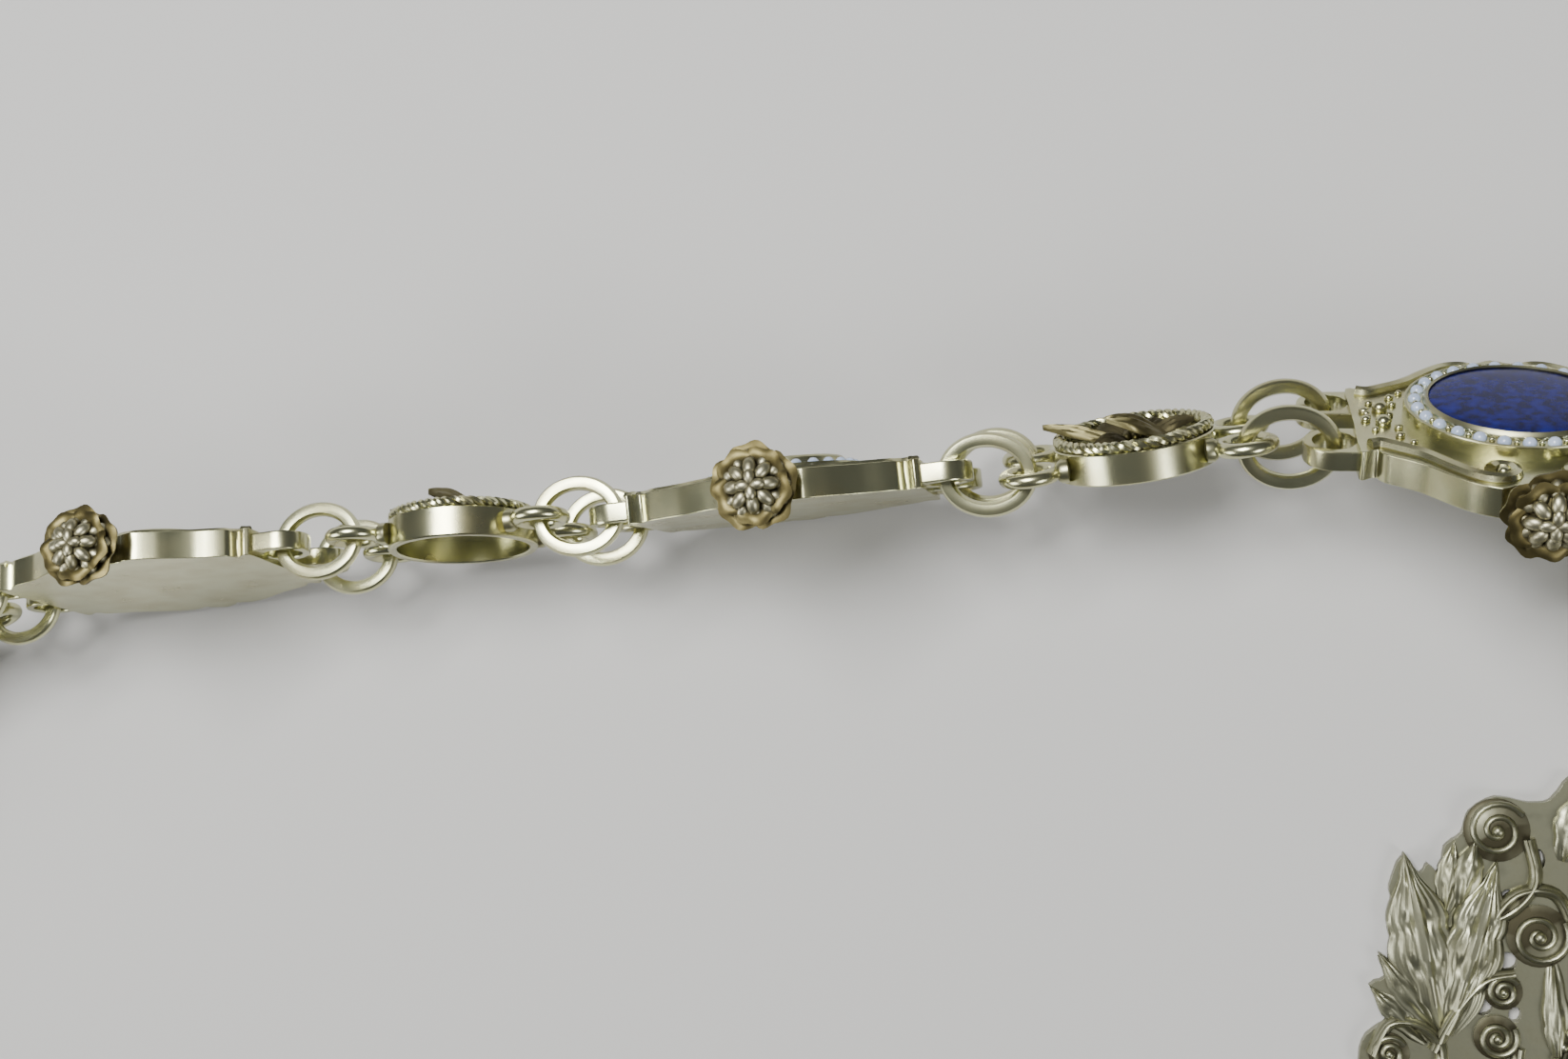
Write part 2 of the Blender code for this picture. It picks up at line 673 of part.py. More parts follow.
badge_middle = Vector((BADGE_PLACE[0] * PAIR_STEP, BADGE_PLACE[1] * PAIR_STEP, 0.0))
badge_at = Matrix.Translation(badge_middle)
place_part("badge_frame", badge_frame_mesh(), satin_gilt, badge_at)
roundel_base = BADGE_THICK + FIT_GAP
roundel = plate("badge_roundel", [oval(ROUNDEL_WIDTH, ROUNDEL_HEIGHT, 20)], ROUNDEL_THICK, roundel_base)
place_part("badge_roundel", roundel, blue_stone, badge_at)

# The rings of the hanger sag from the loop on the centre link's back to the badge's bail

hanger_top = placed[0][1] @ LOOP_PLACE
hanger_end = badge_middle + Vector((0.0, BAIL_PLACE, BAIL_DIAMETER / 2))
hanger_bend = hanger_top.lerp(hanger_end, HANGER_BEND)
hanger_bend.z = hanger_end.z
hanger_side = (hanger_end - hanger_top).cross(Vector((0.0, 0.0, 1.0))).normalized()


def hanger_point(share):
    """A point on the curve that the hanger follows."""
    return hanger_top.lerp(hanger_bend, share).lerp(hanger_bend.lerp(hanger_end, share), share)


def hanger_places():
    """The middles of the hanger's rings, a little closer together at its two ends."""
    curve = [hanger_point(i / 200) for i in range(201)]
    run = [0.0]
    for near, far in zip(curve, curve[1:]):
        run.append(run[-1] + (far - near).length)
    end_step = (BAIL_DIAMETER + HANGER_LENGTH) / 2
    steps = [end_step] + [HANGER_LENGTH] * (HANGER_RINGS - 1) + [end_step]
    steps = [step - HANGER_WIRE * 2 for step in steps]
    scale = run[-1] / sum(steps)
    wanted = [scale * sum(steps[: i + 1]) for i in range(HANGER_RINGS)]
    return [curve[min(range(201), key=lambda i: abs(run[i] - want))] for want in wanted]


hanger_ring = oval_ring("hanger_ring", HANGER_LENGTH, HANGER_WIDTH, HANGER_WIRE)
middles = hanger_places()
for i, place in enumerate(middles):
    before = middles[i - 1] if i else hanger_top
    after = middles[i + 1] if i + 1 < len(middles) else hanger_end
    along = (after - before).normalized()
    front = hanger_side if i % 2 else along.cross(hanger_side)
    place_part(f"hanger_ring_{i + 1}", hanger_ring, gilt, frame_matrix(along, front, place))

# The origin is on the floor, at the middle of the chain's footprint

bpy.context.view_layer.update()
corners = [thing.matrix_world @ vertex.co for thing in chain.objects for vertex in thing.data.vertices]
low = Vector([min(corner[i] for corner in corners) for i in range(3)])
high = Vector([max(corner[i] for corner in corners) for i in range(3)])
to_origin = Matrix.Translation((-(low.x + high.x) / 2, -(low.y + high.y) / 2, -low.z))
for thing in chain.objects:
    thing.matrix_world = to_origin @ thing.matrix_world
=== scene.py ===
"""A mayoral chain of office in silver-gilt, with pearls, blue stones and a pierced badge.

The chain stands on its edges on a pale table, and the badge lies inside it. The camera looks down on
the stretch beside the centre link. Lengths are in metres.
"""

import math

import bpy
import numpy as np
from mathutils import Matrix, Vector
from mathutils.bvhtree import BVHTree


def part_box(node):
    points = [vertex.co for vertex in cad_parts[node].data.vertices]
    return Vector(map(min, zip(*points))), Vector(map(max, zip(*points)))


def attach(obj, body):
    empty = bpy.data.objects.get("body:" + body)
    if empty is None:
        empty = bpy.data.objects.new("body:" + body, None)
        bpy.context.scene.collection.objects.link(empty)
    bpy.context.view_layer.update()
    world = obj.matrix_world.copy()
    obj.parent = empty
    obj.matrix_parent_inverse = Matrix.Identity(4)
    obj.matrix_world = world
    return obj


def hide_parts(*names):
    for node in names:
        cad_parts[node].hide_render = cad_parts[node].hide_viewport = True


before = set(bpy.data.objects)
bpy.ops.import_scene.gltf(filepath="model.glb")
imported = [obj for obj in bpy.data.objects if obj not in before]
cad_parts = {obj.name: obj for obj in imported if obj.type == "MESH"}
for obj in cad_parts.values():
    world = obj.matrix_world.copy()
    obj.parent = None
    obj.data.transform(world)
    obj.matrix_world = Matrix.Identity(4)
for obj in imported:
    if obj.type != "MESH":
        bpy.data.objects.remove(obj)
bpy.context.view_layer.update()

# How the links lie
# Every large link and drum was packed as a solid of its own. Its place and lean are read from the largest
# flat side of that solid, which on a large link is its back and on a drum the floor inside it.

MM = 0.001
LINK_THICK = 4.0 * MM
LINK_DOWN = 17.5 * MM
CENTRE_DOWN = 21.5 * MM
DRUM_FLOOR = 0.95 * MM
LUG_REACH = 23.0 * MM
LUG_SPREAD = 12.4 * MM
EYE_REACH = 14.0 * MM
SAME_WAY = 0.9998
SAME_LEVEL = 0.03 * MM


def flat_side(node):
    """The corners of a solid's largest flat side, and the way that side faces."""
    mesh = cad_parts[node].data
    faces = sorted(mesh.polygons, key=lambda face: -face.area)
    best = []
    for seed in faces[:8]:
        level = seed.normal.dot(seed.center)
        group = [
            face
            for face in faces
            if face.normal.dot(seed.normal) > SAME_WAY
            and abs(face.center.dot(seed.normal) - level) < SAME_LEVEL
        ]
        if sum(face.area for face in group) > sum(face.area for face in best):
            best = group
    corners = [mesh.vertices[i].co.copy() for face in best for i in face.vertices]
    return corners, best[0].normal.copy()


def lying(node, level, down=None):
    """A link's own frame: x along the chain, z out of its face and y towards its upper worn edge."""
    corners, back = flat_side(node)
    face = -back
    along = face.cross(Vector((0.0, 0.0, 1.0))).normalized()
    across = face.cross(along)
    ends = [corner.dot(along) for corner in corners]
    edges = [corner.dot(across) for corner in corners]
    middle = (min(edges) + max(edges)) / 2 if down is None else min(edges) + down
    place = along * (min(ends) + max(ends)) / 2 + across * middle + face * (corners[0].dot(face) - level)
    return Matrix.Translation(place) @ Matrix((along, across, face)).transposed().to_4x4()


right_side = [name for i in range(1, 6) for name in (f"drum_link_right_{i}", f"large_link_right_{i}")]
left_side = [name for i in range(5, 0, -1) for name in (f"large_link_left_{i}", f"drum_link_left_{i}")]
around = ["centre_link"] + right_side + ["drum_link_right_6"] + left_side
places = {}
for name in around:
    if name.startswith("drum"):
        places[name] = lying(name, DRUM_FLOOR)
    else:
        places[name] = lying(name, -LINK_THICK / 2, CENTRE_DOWN if name == "centre_link" else LINK_DOWN)

# Table, light and camera
# A plain pale table, a strong soft light above with two weaker ones at the sides, and the camera above the
# drum links, tipped a little to the left along the chain as in the photograph.

CAMERA_FROM_CENTRE = Vector((-48.3, -12.8, 259.6)) * MM
CAMERA_TIP = math.radians(11.3)
LENS = 40.2
TABLE_SIZE = 4.0
TABLE_COLOUR = (0.46, 0.455, 0.44, 1.0)
ROOM_COLOUR = (0.75, 0.78, 0.82, 1.0)
LIT_SPOT = Vector((0.05, 0.08, 0.0))

bpy.ops.object.select_all(action="DESELECT")
bpy.ops.mesh.primitive_plane_add(size=TABLE_SIZE)
table = bpy.context.object
table.name = "table"
table_paint = bpy.data.materials.new("pale_table")
table_paint.use_nodes = True
table_shader = table_paint.node_tree.nodes["Principled BSDF"]
table_shader.inputs["Base Color"].default_value = TABLE_COLOUR
table_shader.inputs["Roughness"].default_value = 0.75
table.data.materials.append(table_paint)

world = bpy.data.worlds.new("room")
bpy.context.scene.world = world
world.use_nodes = True
world.node_tree.nodes["Background"].inputs["Color"].default_value = ROOM_COLOUR
world.node_tree.nodes["Background"].inputs["Strength"].default_value = 0.13


def soft_light(name, place, size, power):
    """A square soft light that looks at the middle of the chain's front stretch."""
    bpy.ops.object.light_add(type="AREA", location=place)
    lamp = bpy.context.object
    lamp.name = name
    lamp.data.size = size
    lamp.data.energy = power
    lamp.rotation_euler = (LIT_SPOT - Vector(place)).to_track_quat("-Z", "Y").to_euler()


soft_light("light_above", (-0.15, 0.35, 0.75), size=0.35, power=11.0)
soft_light("light_left", (-0.75, -0.2, 0.45), size=0.4, power=4.0)
soft_light("light_right", (0.7, -0.35, 0.6), size=0.4, power=4.0)

centre = places["centre_link"].translation
bpy.ops.object.camera_add(location=(centre.x, centre.y, 0.0))
camera = bpy.context.object
camera.location += CAMERA_FROM_CENTRE
camera.rotation_euler = (0.0, CAMERA_TIP, 0.0)
camera.data.lens = LENS
camera.data.sensor_width = 36.0
camera.data.clip_start = 0.01
bpy.context.scene.camera = camera

# Joining rings
# Two oval rings of heavy silver-gilt wire, soldered shut, join each large link to the next drum. Their
# sides are filed a little flat and polished.

RING_LENGTH = 13.4 * MM
RING_WIDTH = 11.5 * MM
RING_WIRE = 2.1 * MM
RING_FLAT = 0.78
GILT = (0.58, 0.58, 0.36, 1.0)
GILT_DEEP = (0.36, 0.31, 0.15, 1.0)
# The dark colour put into hollows stands for painted shade as well as dirt.
GRIME_AND_SHADE = (0.08, 0.07, 0.038, 1.0)

wear_and_shade = bpy.data.node_groups.new("handling_wear_and_painted_shade", "ShaderNodeTree")
for label in ("Clean", "Tarnished", "Grime_and_Shade"):
    wear_and_shade.interface.new_socket(label, in_out="INPUT", socket_type="NodeSocketColor")
for label in ("Amount", "Patch Size", "Hollow", "Dullness"):
    wear_and_shade.interface.new_socket(label, in_out="INPUT", socket_type="NodeSocketFloat")
for label, kind in (("Colour", "Color"), ("Roughness", "Float"), ("Height", "Float")):
    wear_and_shade.interface.new_socket(label, in_out="OUTPUT", socket_type=f"NodeSocket{kind}")
wear_in = wear_and_shade.nodes.new("NodeGroupInput")
wear_out = wear_and_shade.nodes.new("NodeGroupOutput")
wear_place = wear_and_shade.nodes.new("ShaderNodeTexCoord")
patches = wear_and_shade.nodes.new("ShaderNodeTexNoise")
patches.inputs["Detail"].default_value = 6.0
patch_edge = wear_and_shade.nodes.new("ShaderNodeMapRange")
patch_edge.inputs["From Min"].default_value = 0.42
patch_edge.inputs["From Max"].default_value = 0.72
share = wear_and_shade.nodes.new("ShaderNodeMath")
share.operation = "MULTIPLY"
tint = wear_and_shade.nodes.new("ShaderNodeMix")
tint.data_type = "RGBA"
scratches = wear_and_shade.nodes.new("ShaderNodeTexNoise")
scratches.inputs["Scale"].default_value = 2200.0
scratches.inputs["Detail"].default_value = 4.0
shine = wear_and_shade.nodes.new("ShaderNodeMapRange")
shine.inputs["To Min"].default_value = 0.14
shine.inputs["To Max"].default_value = 0.34
# How shut in a point is sets how much painted shade and dirt darken its colour, and how dull it is.
shade_and_grime_share = wear_and_shade.nodes.new("ShaderNodeMapRange")
shade_and_grime_share.inputs["From Min"].default_value = 0.25
shade_and_grime_share.inputs["From Max"].default_value = 0.9
shade_and_grime_mixed = wear_and_shade.nodes.new("ShaderNodeMix")
shade_and_grime_mixed.data_type = "RGBA"
dulled = wear_and_shade.nodes.new("ShaderNodeMath")
dulled.operation = "MULTIPLY_ADD"
dulled.inputs[1].default_value = 0.25
finish_dull = wear_and_shade.nodes.new("ShaderNodeMath")
wear_link = wear_and_shade.links.new
wear_link(wear_place.outputs["Object"], patches.inputs["Vector"])
wear_link(wear_in.outputs["Patch Size"], patches.inputs["Scale"])
wear_link(patches.outputs["Fac"], patch_edge.inputs["Value"])
wear_link(patch_edge.outputs["Result"], share.inputs[0])
wear_link(wear_in.outputs["Amount"], share.inputs[1])
wear_link(share.outputs["Value"], tint.inputs["Factor"])
wear_link(wear_in.outputs["Clean"], tint.inputs["A"])
wear_link(wear_in.outputs["Tarnished"], tint.inputs["B"])
wear_link(wear_place.outputs["Object"], scratches.inputs["Vector"])
wear_link(patches.outputs["Fac"], shine.inputs["Value"])
wear_link(wear_in.outputs["Hollow"], shade_and_grime_share.inputs["Value"])
wear_link(shade_and_grime_share.outputs["Result"], shade_and_grime_mixed.inputs["Factor"])
wear_link(tint.outputs["Result"], shade_and_grime_mixed.inputs["A"])
wear_link(wear_in.outputs["Grime_and_Shade"], shade_and_grime_mixed.inputs["B"])
wear_link(shade_and_grime_mixed.outputs["Result"], wear_out.inputs["Colour"])
wear_link(shade_and_grime_share.outputs["Result"], dulled.inputs[0])
wear_link(shine.outputs["Result"], dulled.inputs[2])
wear_link(dulled.outputs["Value"], finish_dull.inputs[0])
wear_link(wear_in.outputs["Dullness"], finish_dull.inputs[1])
wear_link(finish_dull.outputs["Value"], wear_out.inputs["Roughness"])
wear_link(scratches.outputs["Fac"], wear_out.inputs["Height"])


def metal(name, clean, tarnished, amount, patch_size, bump, dull=0.0, grime_and_shade=GRIME_AND_SHADE):
    """A worn silver-gilt finish, with painted shade and dirt darkening its hollows."""
    finish = bpy.data.materials.new(name)
    finish.use_nodes = True
    tree = finish.node_tree
    shader = tree.nodes["Principled BSDF"]
    shader.inputs["Metallic"].default_value = 1.0
    worn = tree.nodes.new("ShaderNodeGroup")
    worn.node_tree = wear_and_shade
    worn.inputs["Clean"].default_value = clean
    worn.inputs["Tarnished"].default_value = tarnished
    worn.inputs["Grime_and_Shade"].default_value = grime_and_shade
    worn.inputs["Dullness"].default_value = dull
    worn.inputs["Amount"].default_value = amount
    worn.inputs["Patch Size"].default_value = patch_size
    # The mesh's hollow mark says where shade and dirt are painted.
    shut_in = tree.nodes.new("ShaderNodeAttribute")
    shut_in.attribute_name = "hollow"
    tree.links.new(shut_in.outputs["Fac"], worn.inputs["Hollow"])
    dents = tree.nodes.new("ShaderNodeBump")
    dents.inputs["Strength"].default_value = bump
    dents.inputs["Distance"].default_value = 0.02 * MM
    tree.links.new(worn.outputs["Colour"], shader.inputs["Base Color"])
    tree.links.new(worn.outputs["Roughness"], shader.inputs["Roughness"])
    tree.links.new(worn.outputs["Height"], dents.inputs["Height"])
    tree.links.new(dents.outputs["Normal"], shader.inputs["Normal"])
    return finish


gilt = metal("polished_gilt", GILT, GILT_DEEP, 0.55, 160.0, 0.12)

# Each point casts rays a short way out; the share that meets metal is painted as shade and dirt.
SHADE_AND_GRIME_REACH = 1.1 * MM
SHADE_AND_GRIME_RAYS = 10
SHADE_AND_GRIME_TURN = 2.4
PLAIN_FACE = 2.0 * MM**2


def hollows_marked(piece):
    """Mark how shut in each point is, which sets the painted shade and dirt in its hollows; big plain faces
    get none.
    """
    mesh = piece.data
    walls = BVHTree.FromPolygons([v.co for v in mesh.vertices], [p.vertices for p in mesh.polygons])
    spread = []
    for i in range(SHADE_AND_GRIME_RAYS):
        rise = 0.25 + 0.7 * (i + 0.5) / SHADE_AND_GRIME_RAYS
        level = math.sqrt(1 - rise**2)
        turn = SHADE_AND_GRIME_TURN * i
        spread.append(Vector((level * math.cos(turn), level * math.sin(turn), rise)))
    shut = []
    for vertex in mesh.vertices:
        upright = vertex.normal.to_track_quat("Z", "Y")
        start = vertex.co + vertex.normal * 0.05 * MM
        met = sum(walls.ray_cast(start, upright @ ray, SHADE_AND_GRIME_REACH)[0] is not None for ray in spread)
        shut.append(met / SHADE_AND_GRIME_RAYS)
    for face in mesh.polygons:
        if face.area > PLAIN_FACE:
            for i in face.vertices:
                shut[i] = 0.0
    mark = mesh.attributes.get("hollow") or mesh.attributes.new("hollow", "FLOAT", "POINT")
    mark.data.foreach_set("value", shut)
    return piece


def shaded(piece, finish, angle=40):
    """Give a finished pattern its finish and smooth its round stretches."""
    piece.data.materials.clear()
    piece.data.materials.append(finish)
    bpy.ops.object.select_all(action="DESELECT")
    piece.select_set(True)
    bpy.context.view_layer.objects.active = piece
    bpy.ops.object.shade_smooth_by_angle(angle=math.radians(angle))
    level = piece.modifiers.new("level", "WEIGHTED_NORMAL")
    level.keep_sharp = True
    bpy.ops.object.modifier_apply(modifier="level")
    return hollows_marked(piece)


def joined(pieces, name):
    """Several pieces joined into one pattern."""
    bpy.ops.object.select_all(action="DESELECT")
    for piece in pieces:
        piece.select_set(True)
    bpy.context.view_layer.objects.active = pieces[0]
    bpy.ops.object.transform_apply(location=True, rotation=True, scale=True)
    if len(pieces) > 1:
        bpy.ops.object.join()
    pieces[0].name = name
    return pieces[0]


patterns = []


def set_down(pattern, name, matrix, slot, *nodes):
    """A copy of a pattern where its link lies, shown in place of the plain solids named."""
    mesh = pattern.data.copy()
    mesh.transform(matrix)
    piece = bpy.data.objects.new(name, mesh)
    bpy.context.scene.collection.objects.link(piece)
    if nodes:
        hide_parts(*nodes)
    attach(piece, "root")
    return piece


def oval_ring(length, width, wire, flat, rounds=56):
    """A soldered wire ring, longer along x, with its two faces filed down to a share of the wire."""
    bpy.ops.object.select_all(action="DESELECT")
    bpy.ops.mesh.primitive_torus_add(
        major_segments=rounds, minor_segments=14, major_radius=(width - wire) / 2, minor_radius=wire / 2
    )
    ring = bpy.context.object
    for vertex in ring.data.vertices:
        vertex.co.x += (length - width) / 2 * vertex.co.x / math.hypot(vertex.co.x, vertex.co.y)
        limit = wire / 2 * flat
        over = abs(vertex.co.z) - limit
        if over > 0:
            vertex.co.z = math.copysign(limit + over * 0.2, vertex.co.z)
    return ring


ring_pattern = oval_ring(RING_LENGTH, RING_WIDTH, RING_WIRE, RING_FLAT)
ring_pattern = shaded(joined([ring_pattern], "ring_pattern"), gilt)
patterns.append(ring_pattern)


def ring_place(near_link, near_reach, far_link, far_reach, side):
    """Where the ring lies that passes through a hole of one link and the facing hole of the next."""
    first = near_link @ Vector((near_reach, side * LUG_SPREAD / 2, 0.0))
    second = far_link @ Vector((-far_reach, side * LUG_SPREAD / 2, 0.0))
    upward = Vector((0.0, 1.0, 0.0))
    axis = (near_link.to_3x3() @ upward + far_link.to_3x3() @ upward) / 2
    along = (second - first).normalized()
    face = along.cross(axis).normalized()
    turn = Matrix((along, face, along.cross(face))).transposed()
    return Matrix.Translation((first + second) / 2) @ turn.to_4x4()


for step, name in enumerate(around):
    if not name.startswith("drum"):
        continue
    before = places[around[step - 1]]
    after = places[around[(step + 1) % len(around)]]
    here = places[name]
    ends = {"left": (before, LUG_REACH, here, EYE_REACH), "right": (here, EYE_REACH, after, LUG_REACH)}
    for end, pair in ends.items():
        for level, side in (("upper", -1), ("lower", 1)):
            solid = f"{name}_{end}_{level}_ring"
            stood_for = [solid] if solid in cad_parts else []
            set_down(ring_pattern, f"{solid}_dressed", ring_place(*pair, side), "gilt", *stood_for)

# Large links
# Each is a stamped plate with a scrolled outline and a raised edge, and has two lugs at each end, a ring of
# pearls round a blue stone, and scrolls of wire and grains soldered on its front.

LINK_HALF = 20.25 * MM
LINK_UP = 17.5 * MM
SEAT = 0.95
KNOB_RADIUS = 2.4 * MM
KNOB_REACH = 2.0 * MM
LINK_EDGE = [
    (1.0, 0.12), (1.0, 0.63), (0.90, 0.60), (0.84, 0.69),
    (0.62, 0.79), (0.42, 0.93), (0.26, 1.0), (0.13, 0.95),
]
LUG_HOLE = 5.4 * MM
LUG_WALL = 1.2 * MM
LUG_THICK = 2.8 * MM
LUG_ROOT = 1.2 * MM
LUG_EASE = 0.35 * MM


def curve_point(before, start, end, after, share, pull):
    """A point between start and end on a curve that runs on to before and after."""
    slow = 2 * before - 5 * start + 4 * end - after
    fast = 3 * start - before - 3 * end + after
    return start + pull * share * (end - before + slow * share + fast * share * share)


def smoothed(points, steps=4):
    """Points on a closed curve through the given ones, with a small corner left at each."""
    dense = []
    for i in range(len(points)):
        four = [Vector(points[(i + k) % len(points)]) for k in (-1, 0, 1, 2)]
        dense += [curve_point(*four, j / steps, 0.42) for j in range(steps)]
    return dense


def scrolled_outline(edge, half, down, up):
    """The outline of a large link: the same quarter turned four ways, and the knob that it stands on."""
    lower = [(x * half, -y * down) for x, y in reversed(edge)]
    upper = [(x * half, y * up) for x, y in edge]
    knob = [(KNOB_RADIUS * math.cos(a), up * SEAT + KNOB_REACH * math.sin(a)) for a in (0.35, 1.57, 2.79)]
    return lower + upper + knob + [(-x, y) for x, y in reversed(lower + upper)]


def slab(outline, low, high, ease, segments=2):
    """A plate sawn to an outline, with its edges eased."""
    bpy.ops.object.select_all(action="DESELECT")
    bpy.ops.mesh.primitive_circle_add(vertices=len(outline), fill_type="NGON")
    piece = bpy.context.object
    for vertex, point in zip(piece.data.vertices, outline):
        vertex.co = (point[0], point[1], low)
    bpy.ops.object.mode_set(mode="EDIT")
    bpy.ops.mesh.select_all(action="SELECT")
    bpy.ops.mesh.extrude_region_move(TRANSFORM_OT_translate={"value": (0.0, 0.0, high - low)})
    bpy.ops.mesh.select_all(action="SELECT")
    bpy.ops.mesh.normals_make_consistent(inside=False)
    bpy.ops.object.mode_set(mode="OBJECT")
    if ease:
        rounding = piece.modifiers.new("eased", "BEVEL")
        rounding.width = ease
        rounding.segments = segments
        rounding.angle_limit = math.radians(50)
        bpy.ops.object.modifier_apply(modifier="eased")
    return piece


def lathe(profile, steps=48):
    """A turned piece from (radius, height) points that run down its outer side."""
    bpy.ops.object.select_all(action="DESELECT")
    bpy.ops.mesh.primitive_circle_add(vertices=len(profile))
    piece = bpy.context.object
    for vertex, (radius, height) in zip(piece.data.vertices, profile):
        vertex.co = (radius, 0.0, height)
    bpy.ops.object.mode_set(mode="EDIT")
    bpy.ops.mesh.select_all(action="DESELECT")
    bpy.ops.object.mode_set(mode="OBJECT")
    closing = {0, len(profile) - 1}
    for edge in piece.data.edges:
        edge.select = set(edge.vertices) == closing
    bpy.ops.object.mode_set(mode="EDIT")
    bpy.ops.mesh.select_mode(type="EDGE")
    bpy.ops.mesh.delete(type="EDGE")
    bpy.ops.object.mode_set(mode="OBJECT")
    turn = piece.modifiers.new("turned", "SCREW")
    turn.steps = turn.render_steps = steps
    turn.use_merge_vertices = True
    turn.merge_threshold = 0.01 * MM
    bpy.ops.object.modifier_apply(modifier="turned")
    return piece


def wire(points, radius, closed=False, sides=2):
    """A length of round wire bent along points."""
    curve = bpy.data.curves.new("wire", "CURVE")
    curve.dimensions = "3D"
    curve.bevel_depth = radius
    curve.bevel_resolution = sides
    curve.use_fill_caps = not closed
    run = curve.splines.new("POLY")
    run.points.add(len(points) - 1)
    run.use_cyclic_u = closed
    for point, place in zip(run.points, points):
        point.co = (*place, 1.0)
    piece = bpy.data.objects.new("wire", curve)
    bpy.context.scene.collection.objects.link(piece)
    bpy.ops.object.select_all(action="DESELECT")
    piece.select_set(True)
    bpy.context.view_layer.objects.active = piece
    bpy.ops.object.convert(target="MESH")
    return bpy.context.object


def ball(place, radius, squash=1.0):
    """A small grain of metal, soldered down."""
    bpy.ops.object.select_all(action="DESELECT")
    bpy.ops.mesh.primitive_ico_sphere_add(subdivisions=2, radius=radius, location=place)
    bpy.context.object.scale.z = squash
    return bpy.context.object


def spiral(middle, radius, start, turns, height, end_share=0.15, steps=26):
    """Points that wind in from a scroll's outer end to its eye."""
    points = []
    for i in range(steps + 1):
        share = i / steps
        reach = radius * (1 - (1 - end_share) * share)
        angle = start + turns * 2 * math.pi * share
        points.append((middle[0] + reach * math.cos(angle), middle[1] + reach * math.sin(angle), height))
    return points


def lugs(half):
    """The four lugs of a large link: straps with round ends, drilled for the joining rings."""
    made = []
    outer = LUG_HOLE / 2 + LUG_WALL
    for end in (-1, 1):
        for side in (-1, 1):
            middle = Vector((end * LUG_REACH, side * LUG_SPREAD / 2))
            nose = [math.radians(-90 + 180 * i / 14) for i in range(15)]
            tip = [(middle.x + end * outer * math.cos(a), middle.y + outer * math.sin(a)) for a in nose]
            root = [(end * (half - LUG_ROOT), middle.y + way * outer) for way in (1, -1)]
            strap = slab(tip + root, -LUG_THICK / 2, LUG_THICK / 2, 0.0)
            bpy.ops.mesh.primitive_cylinder_add(
                vertices=28, radius=LUG_HOLE / 2, depth=LUG_THICK * 3, location=(middle.x, middle.y, 0.0)
            )
            drill = bpy.context.object
            hole = strap.modifiers.new("drilled", "BOOLEAN")
            hole.operation = "DIFFERENCE"
            hole.object = drill
            bpy.context.view_layer.objects.active = strap
            bpy.ops.object.modifier_apply(modifier="drilled")
            bpy.data.objects.remove(drill, do_unlink=True)
            rounding = strap.modifiers.new("eased", "BEVEL")
            rounding.width = LUG_EASE
            rounding.segments = 2
            rounding.angle_limit = math.radians(50)
            bpy.ops.object.modifier_apply(modifier="eased")
            made.append(strap)
    return made


def edge_wire(outline, inset, height, radius):
    """A wire laid on a plate just inside its outline."""
    count = len(outline)
    run = []
    for i in range(count):
        along = Vector(outline[(i + 1) % count]) - Vector(outline[i - 1])
        inward = Vector((-along.y, along.x)).normalized()
        point = Vector(outline[i]) + inward * inset
        run.append((point.x, point.y, height))
    return wire(run, radius, closed=True, sides=1)


TOP = LINK_THICK / 2
SETTING_RADIUS = 11.75 * MM
SETTING_HEIGHT = 2.2 * MM
BEZEL_RADIUS = SETTING_RADIUS * 0.72
BEZEL_TOP = TOP + SETTING_HEIGHT
CHANNEL = TOP + 1.0 * MM
CHANNEL_RIM = TOP + 1.5 * MM
PLATE_EASE = 0.45 * MM
PEARL = 0.85 * MM
PEARLS = 26
PEARL_HEIGHT = TOP + 1.4 * MM
# Middle across and up, radius and wire of each wire scroll in mm, then its turns and its starting angle
LINK_SCROLLS = [(12.6, 9.8, 2.4, 0.5, 1.4, math.pi / 2), (16.6, 7.0, 1.9, 0.45, -1.4, 0.0)]
# Place across and up and radius of each grain, in mm
LINK_GRAINS = [(6.6, 14.2, 0.9), (17.3, 3.0, 0.8), (14.4, 4.2, 0.6)]

large_outline = smoothed(scrolled_outline(LINK_EDGE, LINK_HALF, LINK_DOWN, LINK_UP))
large_pieces = [slab(large_outline, -TOP, TOP, PLATE_EASE, 3)] + lugs(LINK_HALF)
large_pieces.append(edge_wire(large_outline, 1.3 * MM, TOP, 0.55 * MM))
large_pieces.append(
    lathe(
        [
            (0.0, TOP + 0.9 * MM), (BEZEL_RADIUS - 0.5 * MM, TOP + 0.9 * MM),
            (BEZEL_RADIUS - 0.5 * MM, BEZEL_TOP + 0.6 * MM), (BEZEL_RADIUS, BEZEL_TOP + 0.7 * MM),
            (BEZEL_RADIUS + 0.3 * MM, BEZEL_TOP + 0.4 * MM), (BEZEL_RADIUS + 0.4 * MM, CHANNEL),
            (SETTING_RADIUS - 0.5 * MM, CHANNEL), (SETTING_RADIUS - 0.5 * MM, CHANNEL_RIM),
            (SETTING_RADIUS, CHANNEL_RIM), (SETTING_RADIUS, TOP - 0.5 * MM), (0.0, TOP - 0.5 * MM),
        ]
    )
)
for side_x in (-1, 1):
    for side_y in (-1, 1):
        for x, y, radius, thick, turns, start in LINK_SCROLLS:
            middle = (side_x * x * MM, side_y * y * MM)
            curl = spiral(middle, radius * MM, start * side_y, side_x * side_y * turns, TOP)
            large_pieces.append(wire(curl, thick * MM))
        for x, y, size in LINK_GRAINS:
            large_pieces.append(ball((side_x * x * MM, side_y * y * MM, TOP), size * MM, 0.8))
